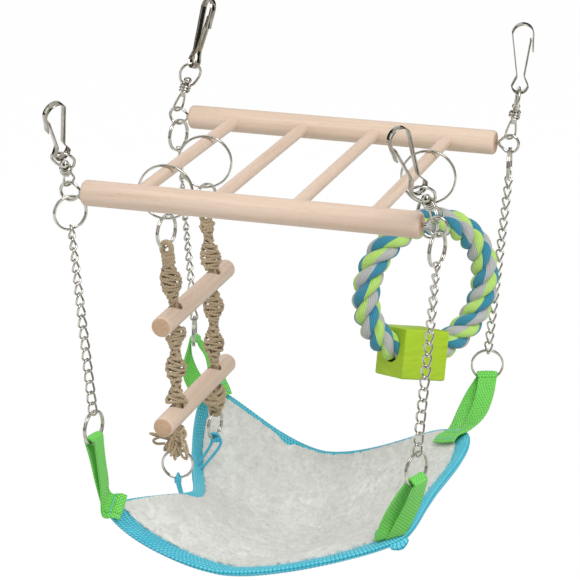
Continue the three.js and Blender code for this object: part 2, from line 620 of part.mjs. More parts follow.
// Webbing loop: a band over the corner ring's lower wire, both ends sewn side by side at the cloth's corner
const plushLow = CLEARANCE / 2;
function webbingLoop(x, y, turn, ringCentre) {
  const wireAlong = vec(Math.cos(turn * RAD), Math.sin(turn * RAD), 0);
  const across = vec(-wireAlong.y, wireAlong.x, 0);
  const half = WEBBING_THICKNESS / 2;
  const bite = Math.sqrt((SMALL_RING / 2 - RING_RADIAL) ** 2 - (WEBBING_WIDTH / 2) ** 2);
  const seat = bite - WEBBING_PLAY - half;
  const loopRadius = RING_AXIAL + RING_TURN_GAP + WEBBING_PLAY + WEBBING_THICKNESS;
  const head = ringCentre.clone().add(vec(0, 0, -seat));
  const hang = head.clone().add(vec(0, 0, -loopRadius));

  // The corner's two edges give the directions into the cloth and across the corner
  const step = 0.02;
  const [a, b] = blunt(x, y);
  const tip = clothAt(a, b);
  const alongX = clothAt(a - x * step, b).sub(tip);
  const alongY = clothAt(a, b - y * step).sub(tip);
  const [lengthX, lengthY] = [alongX.length(), alongY.length()];
  const skew = alongX.normalize().clone().sub(alongY.normalize());
  const [sum, difference] = [alongX.clone().add(alongY).length(), skew.length()];
  skew.normalize();
  const facing = Math.sign(skew.dot(wireAlong));
  skew.multiplyScalar(facing);
  const sewn = (inward, aside, height) => {
    const shareX = inward / sum + (facing * aside) / difference;
    const shareY = inward / sum - (facing * aside) / difference;
    return clothAt(a - (x * step * shareX) / lengthX, b - (y * step * shareY) / lengthY, height);
  };
  const overBinding = BINDING_THICKNESS / 2 + CLEARANCE + half;
  const overPlush = plushLow + PLUSH_THICKNESS + 2 * CLEARANCE + half;
  const spread = Math.sign(across.dot(skew)) * (WEBBING_WIDTH / 2 + HANG_PLAY);
  const start = sewn(0, 0, overBinding);

  // Each end: flat on the cloth, then up to the ring, turning to lie along the ring's wire
  const end = (side) => {
    const sewnRow = (inward, height) => {
      const apart = sewn(inward, spread, height).distanceTo(sewn(inward, -spread, height));
      const stretch = (2 * Math.abs(spread)) / apart;
      const at = (share, lift) => sewn(inward, (side * spread + share * WEBBING_WIDTH) * stretch, height + lift);
      const edge = sewn(inward, spread * stretch, height).sub(sewn(inward, -spread * stretch, height));
      edge.setLength((Math.sign(spread) * WEBBING_WIDTH) / 2);
      const middle = at(0, 0);
      const up = at(0, 1).sub(middle);
      const [low, high] = [at(-0.5, 0).sub(middle).add(edge), at(0.5, 0).sub(middle).sub(edge)];
      const rise = Math.max(0, up.dot(low), up.dot(high));
      return { p: middle.addScaledVector(up, rise), wide: edge.normalize() };
    };
    const legRow = (t) => {
      const p = start.clone().lerp(hang, t)
        .addScaledVector(skew, side * spread * (1 - t ** 3))
        .addScaledVector(across, side * loopRadius * Math.sqrt(t));
      return { p, wide: skew.clone().lerp(wireAlong, t).normalize() };
    };
    return [
      sewnRow(WEBBING_SEWN, overPlush), sewnRow(BINDING_WIDTH + CLEARANCE, overPlush),
      sewnRow(0, overBinding), ...[0.35, 0.7, 1].map(legRow),
    ];
  };
  const arc = halfTurn(6).slice(1, -1).reverse().map((t) => {
    const p = hang.clone().addScaledVector(across, loopRadius * Math.cos(t * RAD));
    return { p: p.add(vec(0, 0, loopRadius * Math.sin(t * RAD))), wide: wireAlong };
  });
  const path = [...end(-1), ...arc, ...end(1).reverse()];
  const rows = path.map(({ p, wide }, i) => {
    const before = path[Math.max(i - 1, 0)].p;
    const after = path[Math.min(i + 1, path.length - 1)].p;
    const along = after.clone().sub(before).normalize();
    const normal = along.cross(wide).normalize().multiplyScalar(half);
    const edge = wide.clone().multiplyScalar(WEBBING_WIDTH / 2);
    return [
      p.clone().sub(edge).sub(normal), p.clone().add(edge).sub(normal),
      p.clone().add(edge).add(normal), p.clone().sub(edge).add(normal),
    ];
  });
  return loft(rows, false, true);
}

// Corners: eye, hanger, rings, chain and webbing
const smallInner = SMALL_RING / 2 - RING_RADIAL;
const eyeRingDrop = eyeRadius - EYE_WIRE / 2 - HANG_PLAY + smallInner;
const chainSeat = CHAIN_PLAY + CHAIN_WIRE / 2;
for (const [corner, pose] of Object.entries(HANGERS)) {
  const { x, y } = pose;
  add(`screw_eye_${corner}`, screwEye(x, y * railY), 'nickel');
  const parts = hanger(pose);
  add(`swivel_link_${corner}`, parts.link, 'nickel');
  add(`swivel_bow_${corner}`, parts.bow, 'nickel');
  add(`snap_hook_${corner}`, parts.hook, 'nickel');
  add(`snap_gate_${corner}`, parts.gate, 'nickel');
  const eyeRing = vec(x * eyeX, y * railY, -eyeRingDrop);
  const cornerRing = vec(x * CORNER_RING_X, y * CORNER_RING_Y, -CORNER_RING_DROP);
  add(`eye_ring_${corner}`, splitRing(SMALL_RING, EYE_RING_TURN[corner], eyeRing), 'nickel');
  add(`chain_${corner}`, chain(
    eyeRing.clone().add(vec(0, 0, -smallInner + chainSeat)),
    cornerRing.clone().add(vec(0, 0, smallInner - chainSeat)),
    EYE_RING_TURN[corner], CORNER_RING_TURN[corner],
  ), 'nickel');
  add(`corner_ring_${corner}`, splitRing(SMALL_RING, CORNER_RING_TURN[corner], cornerRing), 'nickel');
  add(`webbing_loop_${corner}`, webbingLoop(x, y, CORNER_RING_TURN[corner], cornerRing), 'webbing');
}

// Ladder: rings on the first rung, twisted sinnet ropes through two dowels, knots and tie rings
const ladderTop = vec(rungX[0], 0, 0);
const largeInner = LARGE_RING / 2 - RING_RADIAL;
const ladderRingZ = RUNG_DIAMETER / 2 + CLEARANCE - largeInner;
const ladderLinkZ = ladderRingZ - largeInner + HANG_PLAY - smallInner;
const ropeTopZ = ladderLinkZ - smallInner + HANG_PLAY;
const tieInner = TIE_RING / 2 - RING_RADIAL;
const knotTop = -LOWER_DOWEL_DROP - LADDER_DOWEL_DIAMETER / 2 - HANG_PLAY;
const knotBottom = knotTop - KNOT_LENGTH;
const ropeEnd = knotBottom - ROPE_LOOP_CORD - RING_RADIAL - TIE_PLAY;
const tieRingZ = ropeEnd + ROPE_LOOP_CORD + HANG_PLAY - tieInner;
const cordApex = tieRingZ - tieInner + HANG_PLAY + CORD_DIAMETER / 2;

// Oval loop of cord that holds a ring's wire, from its lowest to its highest point
function cordEye(x, y, low, high, along) {
  const radius = ROPE_LOOP_CORD * 0.95;
  const path = [];
  for (const end of [1, -1]) {
    const middle = end > 0 ? high - ROPE_LOOP_CORD / 2 - radius : low + ROPE_LOOP_CORD / 2 + radius;
    for (const t of halfTurn(4)) {
      path.push(vec(x, y, middle + end * radius * Math.sin(t * RAD))
        .addScaledVector(along, end * radius * Math.cos(t * RAD)));
    }
  }
  return wire(path, ROPE_LOOP_CORD, 6, true);
}
function sinnetRope(y, linkTurn, tieTurn) {
  const lean = (z) => {
    const t = THREE.MathUtils.clamp((z - ropeTopZ) / (-UPPER_DOWEL_DROP - ropeTopZ), 0, 1);
    return THREE.MathUtils.lerp(ladderTop.x, LADDER_X, t);
  };
  const section = (z, width, thickness) => {
    const turn = (z / SINNET_TWIST_PITCH) * 2 * Math.PI;
    return Array.from({ length: 8 }, (_, j) => {
      const t = (2 * Math.PI * j) / 8;
      const a = (width / 2) * Math.cos(t);
      const b = (thickness / 2) * Math.sin(t);
      return vec(
        lean(z) + a * Math.cos(turn) - b * Math.sin(turn),
        y + a * Math.sin(turn) + b * Math.cos(turn), z,
      );
    });
  };
  const start = ropeTopZ + ROPE_LOOP_CORD - ROPE_EYE_LENGTH;
  const rows = [section(start + ROPE_LOOP_CORD / 2, ROPE_CORE, ROPE_CORE)];
  const shoulder = 0.4;
  const stretch = (from, to) => {
    rows.push(section(from + shoulder, ROPE_CORE, ROPE_CORE));
    const steps = Math.max(2, Math.round((from - to) / 8));
    for (let i = 0; i <= steps; i++) {
      rows.push(section(from - ((from - to) * i) / steps, SINNET_WIDTH, SINNET_THICKNESS));
    }
    rows.push(section(to - shoulder, ROPE_CORE, ROPE_CORE));
  };
  const seat = LADDER_DOWEL_DIAMETER / 2 + HANG_PLAY;
  const overDowel = seat + ROPE_CORE / 2;
  stretch(start - ROPE_CORE / 2, -UPPER_DOWEL_DROP + overDowel);
  stretch(-UPPER_DOWEL_DROP - seat, -LOWER_DOWEL_DROP + overDowel);
  rows.push(section(knotTop + shoulder, ROPE_CORE, ROPE_CORE));
  rows.push(section(knotTop, SINNET_WIDTH, SINNET_WIDTH * KNOT_FLAT));
  rows.push(section(knotTop - KNOT_LENGTH * 0.3, KNOT_WIDTH, KNOT_WIDTH * KNOT_FLAT));
  rows.push(section(knotTop - KNOT_LENGTH * 0.7, KNOT_WIDTH, KNOT_WIDTH * KNOT_FLAT));
  rows.push(section(knotBottom, ROPE_CORE, ROPE_CORE));
  const across = (turn) => vec(Math.sin(turn * RAD), -Math.cos(turn * RAD), 0);
  const topEye = cordEye(ladderTop.x, y, start, ropeTopZ + ROPE_LOOP_CORD, across(linkTurn));
  const tieEye = cordEye(LADDER_X, y, ropeEnd, knotBottom + ROPE_LOOP_CORD, across(tieTurn));
  return join(loft(rows), topEye, tieEye);
}
const ladderSides = { front: LADDER_Y_FRONT, rear: LADDER_Y_REAR };
for (const [side, y] of Object.entries(ladderSides)) {
  const hangAt = (x, z) => vec(x, y, z);
  add(`ladder_ring_${side}`,
    splitRing(LARGE_RING, LADDER_RING_TURN[side], hangAt(rungX[0], ladderRingZ)), 'nickel');
  add(`ladder_link_ring_${side}`,
    splitRing(SMALL_RING, LADDER_LINK_TURN[side], hangAt(rungX[0], ladderLinkZ)), 'nickel');
  add(`ladder_rope_${side}`, sinnetRope(y, LADDER_LINK_TURN[side], TIE_RING_TURN[side]), 'jute');
  add(`ladder_tie_ring_${side}`,
    splitRing(TIE_RING, TIE_RING_TURN[side], hangAt(LADDER_X, tieRingZ)), 'nickel');
}
const ladderMiddle = (LADDER_Y_FRONT + LADDER_Y_REAR) / 2;
for (const [name, drop] of [['upper', UPPER_DOWEL_DROP], ['lower', LOWER_DOWEL_DROP]]) {
  const bar = dowel(LADDER_DOWEL_LENGTH, LADDER_DOWEL_DIAMETER, LADDER_DOWEL_EDGE, 20);
  bar.translate(LADDER_X, ladderMiddle, -drop);
  const bores = Object.values(ladderSides).map((y) => rod(
    vec(LADDER_X, y, -drop - LADDER_DOWEL_DIAMETER), vec(LADDER_X, y, -drop + LADDER_DOWEL_DIAMETER),
    ROPE_CORE + 2 * DOWEL_BORE_PLAY, 12,
  ));
  add(`ladder_dowel_${name}`, cut(bar, ...bores), 'beech');
}

// Hammock
add('hammock_plush', clothSheet(plushLow, plushLow + PLUSH_THICKNESS), 'plush');
add('hammock_backing', clothSheet(-plushLow - BACKING_THICKNESS, -plushLow), 'backing');
const tieLoops = Object.entries(ladderSides).map(([side, y]) => {
  return cordLoop(y, cordApex, TIE_RING_TURN[side]);
});
add('hammock_binding', binding(tieLoops), 'binding');

// Rope ring toy: rings on the last rung, three-strand rope ring and a bored block on its lowest point
const toyX = rungX[RUNG_COUNT - 1];
const toyRingZ = RUNG_DIAMETER / 2 + CLEARANCE - largeInner;
const toyLinkInner = TOY_LINK_RING / 2 - RING_RADIAL;
const toyLinkZ = toyRingZ - largeInner + HANG_PLAY - toyLinkInner;
const toyRadius = TOY_ROPE_RING / 2;
const toyCentreZ = toyLinkZ - toyLinkInner + HANG_PLAY + TOY_ROPE_DIAMETER / 2 - toyRadius;
const toyAlong = vec(Math.cos(TOY_TURN * RAD), Math.sin(TOY_TURN * RAD), 0);
const toyPlane = new THREE.Matrix4().makeBasis(
  toyAlong, vec(0, 0, 1).cross(toyAlong), vec(0, 0, 1),
).setPosition(toyX, TOY_Y, toyCentreZ);
const blockTurn = toyPlane.clone().multiply(new THREE.Matrix4().makeRotationY(BLOCK_SWING * RAD));
add('toy_ring', splitRing(LARGE_RING, TOY_RING_TURN, vec(toyX, TOY_Y, toyRingZ)), 'nickel');
add('toy_link_ring', splitRing(TOY_LINK_RING, TOY_TURN - 90, vec(toyX, TOY_Y, toyLinkZ)), 'nickel');
// Three strands laid together: one lobed section, turned as it goes round the ring
function ropeRing() {
  const strandRadius = TOY_ROPE_DIAMETER / 2 / 2.155;
  const offset = TOY_ROPE_DIAMETER / 2 - strandRadius;
  const inBlock = (BLOCK_SIZE / 2 - ROPE_IN_BLOCK) / toyRadius;
  const sweep = 2 * Math.PI - 2 * inBlock;
  const turns = Math.round((sweep * toyRadius) / TOY_ROPE_PITCH);
  const steps = turns * 8;
  // A strand rests on the link ring, at the top
  const lay = Math.PI - 2 * Math.PI * turns * (0.5 + (BLOCK_SWING * RAD) / sweep);
  const rows = [];
  for (let i = 0; i <= steps; i++) {
    const t = -Math.PI / 2 + inBlock + (sweep * i) / steps;
    const twist = lay + (2 * Math.PI * turns * i) / steps;
    const row = [];
    for (let strand = 0; strand < 3; strand++) {
      const middle = twist + (2 * Math.PI * strand) / 3;
      for (const around of [-100, -50, 0, 50]) {
        const out = offset * Math.cos(middle) + strandRadius * Math.cos(middle + around * RAD);
        const up = offset * Math.sin(middle) + strandRadius * Math.sin(middle + around * RAD);
        const r = toyRadius + out;
        row.push(vec(r * Math.cos(t), up, r * Math.sin(t)));
      }
    }
    rows.push(row);
  }
  return loft(rows).applyMatrix4(blockTurn);
}
add('rope_ring', ropeRing(), 'rope');
function ropeBlock() {
  const half = BLOCK_SIZE / 2 - BLOCK_EDGE;
  const face = new THREE.Shape([
    new THREE.Vector2(-half, -half), new THREE.Vector2(half, -half),
    new THREE.Vector2(half, half), new THREE.Vector2(-half, half),
  ]);
  const block = new THREE.ExtrudeGeometry(face, {
    depth: BLOCK_SIZE - 2 * BLOCK_EDGE, bevelEnabled: true, bevelThickness: BLOCK_EDGE,
    bevelSize: BLOCK_EDGE, bevelSegments: 2,
  });
  block.translate(0, 0, -half).rotateX(BLOCK_ROLL * RAD).translate(0, 0, -toyRadius);
  const bore = new THREE.TorusGeometry(toyRadius, TOY_ROPE_DIAMETER / 2 + 2 * CLEARANCE, 14, 60);
  bore.rotateX(Math.PI / 2);
  return cut(block, bore).applyMatrix4(blockTurn);
}
add('wood_block', ropeBlock(), 'paint');

export default bridge;
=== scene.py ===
import json
import random
from math import acos, atan2, copysign, cos, exp, pi, radians as rad, sin, sqrt, tan

import bpy
from mathutils import Matrix, Vector
from mathutils.noise import noise
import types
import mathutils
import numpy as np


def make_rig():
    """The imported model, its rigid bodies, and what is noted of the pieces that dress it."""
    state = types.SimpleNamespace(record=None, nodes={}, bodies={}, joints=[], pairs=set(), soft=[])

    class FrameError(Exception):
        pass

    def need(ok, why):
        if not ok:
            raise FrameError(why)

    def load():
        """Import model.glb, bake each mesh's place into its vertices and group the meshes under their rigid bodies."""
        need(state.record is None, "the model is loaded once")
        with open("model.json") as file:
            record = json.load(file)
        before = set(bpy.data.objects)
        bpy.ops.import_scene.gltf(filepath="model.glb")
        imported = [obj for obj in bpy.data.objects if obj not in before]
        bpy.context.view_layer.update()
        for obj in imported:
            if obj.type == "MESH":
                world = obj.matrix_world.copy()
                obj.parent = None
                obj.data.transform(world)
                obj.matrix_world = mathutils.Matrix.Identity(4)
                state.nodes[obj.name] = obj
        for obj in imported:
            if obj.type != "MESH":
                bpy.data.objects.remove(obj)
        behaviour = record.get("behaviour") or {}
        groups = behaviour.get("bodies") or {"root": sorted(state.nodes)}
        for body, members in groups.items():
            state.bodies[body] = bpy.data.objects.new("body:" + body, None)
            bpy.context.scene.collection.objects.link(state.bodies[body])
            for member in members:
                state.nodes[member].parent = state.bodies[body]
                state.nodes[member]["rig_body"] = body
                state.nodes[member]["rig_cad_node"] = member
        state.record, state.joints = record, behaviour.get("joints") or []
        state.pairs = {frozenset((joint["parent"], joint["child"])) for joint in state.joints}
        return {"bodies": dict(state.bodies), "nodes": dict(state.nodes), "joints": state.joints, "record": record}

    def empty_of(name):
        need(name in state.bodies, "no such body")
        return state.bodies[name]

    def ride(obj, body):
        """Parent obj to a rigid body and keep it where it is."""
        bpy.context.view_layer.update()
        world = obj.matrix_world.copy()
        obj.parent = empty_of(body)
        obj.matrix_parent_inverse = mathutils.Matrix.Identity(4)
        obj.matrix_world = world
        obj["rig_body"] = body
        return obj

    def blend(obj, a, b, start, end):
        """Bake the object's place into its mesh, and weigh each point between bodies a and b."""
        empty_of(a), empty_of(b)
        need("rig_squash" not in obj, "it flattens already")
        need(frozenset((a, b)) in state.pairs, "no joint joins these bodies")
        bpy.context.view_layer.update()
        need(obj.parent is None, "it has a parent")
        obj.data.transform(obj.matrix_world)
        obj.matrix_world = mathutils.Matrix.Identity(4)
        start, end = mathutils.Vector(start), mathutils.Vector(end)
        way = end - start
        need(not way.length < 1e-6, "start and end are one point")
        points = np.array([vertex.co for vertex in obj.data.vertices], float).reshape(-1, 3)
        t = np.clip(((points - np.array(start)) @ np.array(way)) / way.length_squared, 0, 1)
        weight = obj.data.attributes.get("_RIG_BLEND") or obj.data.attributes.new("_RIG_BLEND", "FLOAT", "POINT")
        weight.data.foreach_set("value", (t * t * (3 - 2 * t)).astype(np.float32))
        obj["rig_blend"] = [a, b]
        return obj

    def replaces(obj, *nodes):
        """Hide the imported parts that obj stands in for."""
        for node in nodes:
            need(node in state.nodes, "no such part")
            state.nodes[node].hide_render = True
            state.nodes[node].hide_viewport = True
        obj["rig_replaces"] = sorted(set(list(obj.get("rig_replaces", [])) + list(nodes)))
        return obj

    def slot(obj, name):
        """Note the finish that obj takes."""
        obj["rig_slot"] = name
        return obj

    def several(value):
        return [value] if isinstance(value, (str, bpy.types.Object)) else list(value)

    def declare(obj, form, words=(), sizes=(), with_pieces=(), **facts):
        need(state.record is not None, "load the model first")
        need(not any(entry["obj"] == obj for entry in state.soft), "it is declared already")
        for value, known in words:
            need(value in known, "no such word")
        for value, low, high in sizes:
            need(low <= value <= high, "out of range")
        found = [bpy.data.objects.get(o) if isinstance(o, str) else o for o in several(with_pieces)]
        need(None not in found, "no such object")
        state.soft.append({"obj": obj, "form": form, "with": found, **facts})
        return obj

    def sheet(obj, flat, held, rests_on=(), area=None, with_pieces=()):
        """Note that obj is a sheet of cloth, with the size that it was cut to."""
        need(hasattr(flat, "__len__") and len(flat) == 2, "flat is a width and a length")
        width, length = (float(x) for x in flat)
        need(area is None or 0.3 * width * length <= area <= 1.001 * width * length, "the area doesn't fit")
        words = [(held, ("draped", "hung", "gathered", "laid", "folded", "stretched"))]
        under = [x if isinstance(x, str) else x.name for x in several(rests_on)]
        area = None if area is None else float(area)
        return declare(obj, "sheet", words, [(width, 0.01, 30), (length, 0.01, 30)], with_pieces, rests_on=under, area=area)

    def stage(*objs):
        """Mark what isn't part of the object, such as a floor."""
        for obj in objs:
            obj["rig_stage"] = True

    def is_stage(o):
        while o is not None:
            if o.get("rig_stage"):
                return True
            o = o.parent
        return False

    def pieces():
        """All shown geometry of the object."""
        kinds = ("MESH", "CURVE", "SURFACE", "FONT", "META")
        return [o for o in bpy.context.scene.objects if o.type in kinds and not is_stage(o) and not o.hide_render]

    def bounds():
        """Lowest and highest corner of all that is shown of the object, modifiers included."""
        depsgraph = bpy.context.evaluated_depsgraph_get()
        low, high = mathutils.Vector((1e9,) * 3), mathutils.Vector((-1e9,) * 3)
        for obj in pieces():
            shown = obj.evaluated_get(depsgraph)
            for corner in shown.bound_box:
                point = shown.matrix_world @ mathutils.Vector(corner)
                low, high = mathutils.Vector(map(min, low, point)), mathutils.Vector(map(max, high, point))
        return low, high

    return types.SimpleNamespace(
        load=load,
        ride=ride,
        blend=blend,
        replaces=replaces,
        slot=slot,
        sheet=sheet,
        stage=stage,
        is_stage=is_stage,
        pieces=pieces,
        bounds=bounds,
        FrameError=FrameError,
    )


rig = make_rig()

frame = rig.load()
cad_box = [[float(c) for c in p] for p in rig.bounds()]
scene = bpy.context.scene
scene.view_settings.view_transform = "Standard"
RNG = random.Random(7)
TAU = 2 * pi

# Sizes in millimetres, as in the part's source; z counts from the deck's middle plane
MM, DECK_DROP = 0.001, 72.0
CLEAR, PLAY, HOOK_PLAY = 0.3, 0.7, 1.2
RAIL_END, RAIL_Y, RAIL_D, RUNG_D = 100.0, 88.0, 15.0, 7.5
RUNG_X = [-69.6, -23.2, 23.2, 69.6]
EYE_WIRE, EYE_DIAMETER, EYE_REACH, SHANK_D, SHANK_LENGTH = 1.8, 12.6, 15.0, 2.6, 14.0
LINK_WIRE, LINK_WIDTH, LINK_HEIGHT = 1.6, 8.8, 13.4
STEM, HEAD = 3.2, 5.2
BOW_WIRE, BOW_WIDTH, BOW_HEIGHT, COIL_TURNS = 1.7, 15.0, 15.2, 2.5
STRIP_WIDTH, STRIP_THICK = 4.2, 0.7
HOOK_HEIGHT, HOOK_WIDTH, HOOK_FOOT, HOOK_WAIST = 45.8, 13.3, 10.5, 5.2
WAIST_Z, NOSE_Z, GATE_TIP_Z = 11.6, 27.5, 35.2
RING_RADIAL, RING_AXIAL, RING_TURN_GAP = 1.3, 1.0, 0.12
SMALL_RING, LARGE_RING, TIE_RING, TOY_LINK_RING = 21.0, 34.0, 20.0, 25.0
CHAIN_WIRE, CHAIN_PITCH, CHAIN_WIDTH, CHAIN_BITE, CHAIN_PLAY = 1.3, 6.8, 6.2, 0.1, 0.9
CORNER_RING = (99.0, 86.3, -145.7)
BINDING_WIDTH, BINDING_THICK, TAPE_WIDTH = 8.0, 4.4, 10.0
TAPE_RIBS, TAPE_RIB, RIB_PITCH = 84, 0.35, 2.4
PLUSH_THICK, BACKING_THICK = 5.0, 1.4
WEB_WIDTH, WEB_THICK, WEB_PLAY = 13.0, 1.3, 0.95
LADDER_Y = {"front": -37.0, "rear": 30.5}
LADDER_X, DOWEL_D, UPPER_DROP, LOWER_DROP = -65.0, 12.5, 88.0, 152.0
SINNET_WIDTH, SINNET_THICK = 13.0, 7.0
ROPE_CORD, KNOT_LENGTH, TIE_PLAY, ROPE_EYE = 3.4, 15.0, 1.8, 11.5
CORD_D, CORD_SPREAD = 1.8, 3.2
TOY_Y, TOY_ROPE, TOY_RING_D, TOY_PITCH, TOY_TURN = 41.0, 17.0, 84.0, 33.0, 45.0
BLOCK, ROPE_IN_BLOCK, BLOCK_SWING = 31.0, 11.0, 12.5
# Each corner: side in x and y, turns of eye ring and corner ring, and its hanger's lean to the front
# and right, turns of link and bow, and tilt and yaw of the hook
HANGERS = {
    "front_left": (-1, -1, 46, 80, 42, 12, 52, 3, -8, -40),
    "front_right": (1, -1, 78, 68, 43, -14, 45, 5, -15, -40),
    "rear_left": (-1, 1, 76, 106, 1, 21, 60, 37, -13, 6),
    "rear_right": (1, 1, 98, 18, 8, 10.5, 45, 106, -7, 3),
}
# Turns of the other rings about the vertical
LADDER_RING_TURN, LADDER_LINK_TURN = dict(front=6, rear=12), dict(front=78, rear=70)
TIE_RING_TURN = dict(front=14, rear=83)
TOY_RING_TURN = 8
CLOTH = {
    "fl": Vector((-119.4, -85, -192.8)), "fr": Vector((100.2, -85, -191.5)),
    "rl": Vector((-97, 85, -157.5)), "rr": Vector((90.4, 85, -171.7)),
}
# Half the cloth's length and breadth
CLOTH_HX, CLOTH_HY = 109.8, 85.0
# Each cloth edge: sag, where it is most, pull inwards, where that is most, and bend
EDGE = {
    "front": (39.1, -0.13, 2.9, -0.17, 1.6), "rear": (51, -0.04, 7.7, 0, 1.71),
    "left": (48.3, 0.32, 49.3, -0.38, 1.71), "right": (5.3, 0.56, -6.5, 0.87, 2.48),
}
CORNER_ROUNDING, CORNER_FOLD = 0.09, dict(rear_right=0.06)


# Points, paths and sections
def vec(x=0.0, y=0.0, z=0.0):
    return Vector((x, y, z))


def up(z):
    return vec(0, 0, z)


def oval(t, a, b, z=0.0):
    return vec(a * cos(t), b * sin(t), z)


def arc(a, b, start, stop, count, middle=0.0):
    """Points of an oval in the plane of x and z, between two angles."""
    return [vec(a * cos(t), 0, middle + b * sin(t)) for t in spaced(start, stop, count)]


def spaced(start, stop, count):
    return [start + (stop - start) * i / count for i in range(count + 1)]


def circle(count):
    return [TAU * j / count for j in range(count)]


def to_scene(p):
    return (p + up(-DECK_DROP)) * MM


def spin(degrees, axis="Z"):
    return Matrix.Rotation(rad(degrees), 4, axis)


def level(turn):
    """The level direction across a ring turned about the vertical."""
    return vec(sin(rad(turn)), -cos(rad(turn)))


def bevelled(half_a, half_b, cut):
    """A rectangle's outline with its corners cut."""
    low = [(-half_a, -half_b + cut), (-half_a + cut, -half_b), (half_a - cut, -half_b), (half_a, -half_b + cut)]
    return low + [(-a, -b) for a, b in low]


def tangents(points, closed=False):
    first, last = (points[-1], points[0]) if closed else (points[0], points[-1])
    return [(b - a).normalized() for a, b in zip([first] + points[:-1], points[1:] + [last])]


def carried(points, closed):
    """Frames along a path without twist; a closed path spreads its leftover turn evenly."""
    ways = tangents(points, closed)
    seed = up(1) if abs(ways[0].z) < 0.9 else vec(1, 0, 0)
    sides = [(seed - ways[0] * seed.dot(ways[0])).normalized()]
    for a, b in zip(ways, ways[1:]):
        sides.append(a.rotation_difference(b) @ sides[-1])
    leftover = 0.0
    if closed:
        end = ways[-1].rotation_difference(ways[0]) @ sides[-1]
        leftover = atan2(end.cross(sides[0]).dot(ways[0]), end.dot(sides[0]))
    out = []
    for i, (p, way, side) in enumerate(zip(points, ways, sides)):
        a = Matrix.Rotation(leftover * i / len(points), 3, way) @ side
        out.append((p, a, way.cross(a)))
    return out


def smoothed(points, per, closed=False):
    """Points along a Catmull-Rom curve through the given ones."""
    n, out = len(points), []
    pick = lambda i: points[i % n] if closed else points[min(max(i, 0), n - 1)]
    for i in range(n if closed else n - 1):
        p0, p1, p2, p3 = (pick(i + k) for k in (-1, 0, 1, 2))
        for k in range(per):
            t = k / per
            out.append(0.5 * (2 * p1 + (p2 - p0) * t + (2 * p0 - 5 * p1 + 4 * p2 - p3) * t * t
                              + (3 * p1 - p0 - 3 * p2 + p3) * t ** 3))
    return out if closed else out + [points[-1].copy()]


# Meshes and objects
def linked(name, data):
    obj = bpy.data.objects.new(name, data)
    scene.collection.objects.link(obj)
    return obj


def settle(obj, body, slot, *nodes):
    """Lets a piece ride on a body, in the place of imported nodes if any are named."""
    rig.ride(obj, body)
    if nodes:
        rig.replaces(obj, *nodes)
    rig.slot(obj, slot)
    return obj


class Shape:
    """Collects lofted rows of points into one mesh; points and map are in millimetres."""

    def __init__(self):
        self.verts, self.faces, self.uvs = [], [], []

    def face(self, corners, uvs):
        self.faces.append(corners)
        self.uvs.append(uvs)

    def loft(self, rows, closed=False, caps=True, shift=0.0, pace=None):
        """Skins rows of points; shift moves the map along, pace sets its step from row to row."""
        n, base, last = len(rows[0]), len(self.verts), len(rows) - 1
        along, across = [0.0], [0.0]
        for before, row in zip(rows, rows[1:]):
            step = sum((row[j] - before[j]).length for j in (0, n // 2)) / 2
            along.append(along[-1] + (pace or step))
        along.append(along[-1] + (pace or (rows[0][0] - rows[-1][0]).length))
        along = [v + shift for v in along]
        for j in range(1, n + 1):
            across.append(across[-1] + (rows[0][j % n] - rows[0][j - 1]).length)
        for row in rows:
            self.verts.extend(row)
        for i in range(len(rows) if closed else last):
            a, b = base + i * n, base + (i + 1) % len(rows) * n
            v0, v1 = along[i], along[i + 1]
            for j in range(n):
                k, u0, u1 = (j + 1) % n, across[j], across[j + 1]
                self.face((a + j, a + k, b + k, b + j), ((u0, v0), (u1, v0), (u1, v1), (u0, v1)))
        if caps and not closed:
            for row, order in ((0, range(n)[::-1]), (last, range(n))):
                self.face([base + row * n + j for j in order], [(across[j], along[row]) for j in order])
        return self

    def tube(self, points, radius, sides=10, closed=False, shift=0.0):
        turns = [TAU * (j + 0.5) / sides for j in range(sides)]
        rows = [[p + a * (radius * cos(t)) + b * (radius * sin(t)) for t in turns]
                for p, a, b in carried(points, closed)]
        return self.loft(rows, closed, shift=shift)

    def piece(self, name, material, place=Matrix.Identity(4), smooth=60):
        mesh = bpy.data.meshes.new(name)
        mesh.from_pydata([to_scene(place @ v) for v in self.verts], [], self.faces)
        layer = mesh.uv_layers.new(name="UVMap")
        layer.data.foreach_set("uv", [c for face in self.uvs for uv in face for c in uv])
        mesh.polygons.foreach_set("use_smooth", [True] * len(mesh.polygons))
        mesh.validate()
        volume = 0.0
        for p in mesh.polygons:
            co = [mesh.vertices[i].co for i in p.vertices]
            for k in range(1, len(co) - 1):
                volume += co[0].dot(co[k].cross(co[k + 1]))
        if volume < 0:
            mesh.flip_normals()
        mesh.set_sharp_from_angle(angle=rad(smooth))
        mesh.materials.append(material)
        return linked(name, mesh)

    def stand_in(self, node, kind, material, slot, body=None, **look):
        """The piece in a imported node's place, on the node's own body if no other is named."""
        return settle(self.piece(f"{node}_{kind}", material, **look), body or node, slot, node)


# Materials
def srgb(*levels):
    linear = lambda c: c / 12.92 if c <= 0.04045 else ((c + 0.055) / 1.055) ** 2.4
    return (*(linear(c / 255) for c in levels), 1.0)


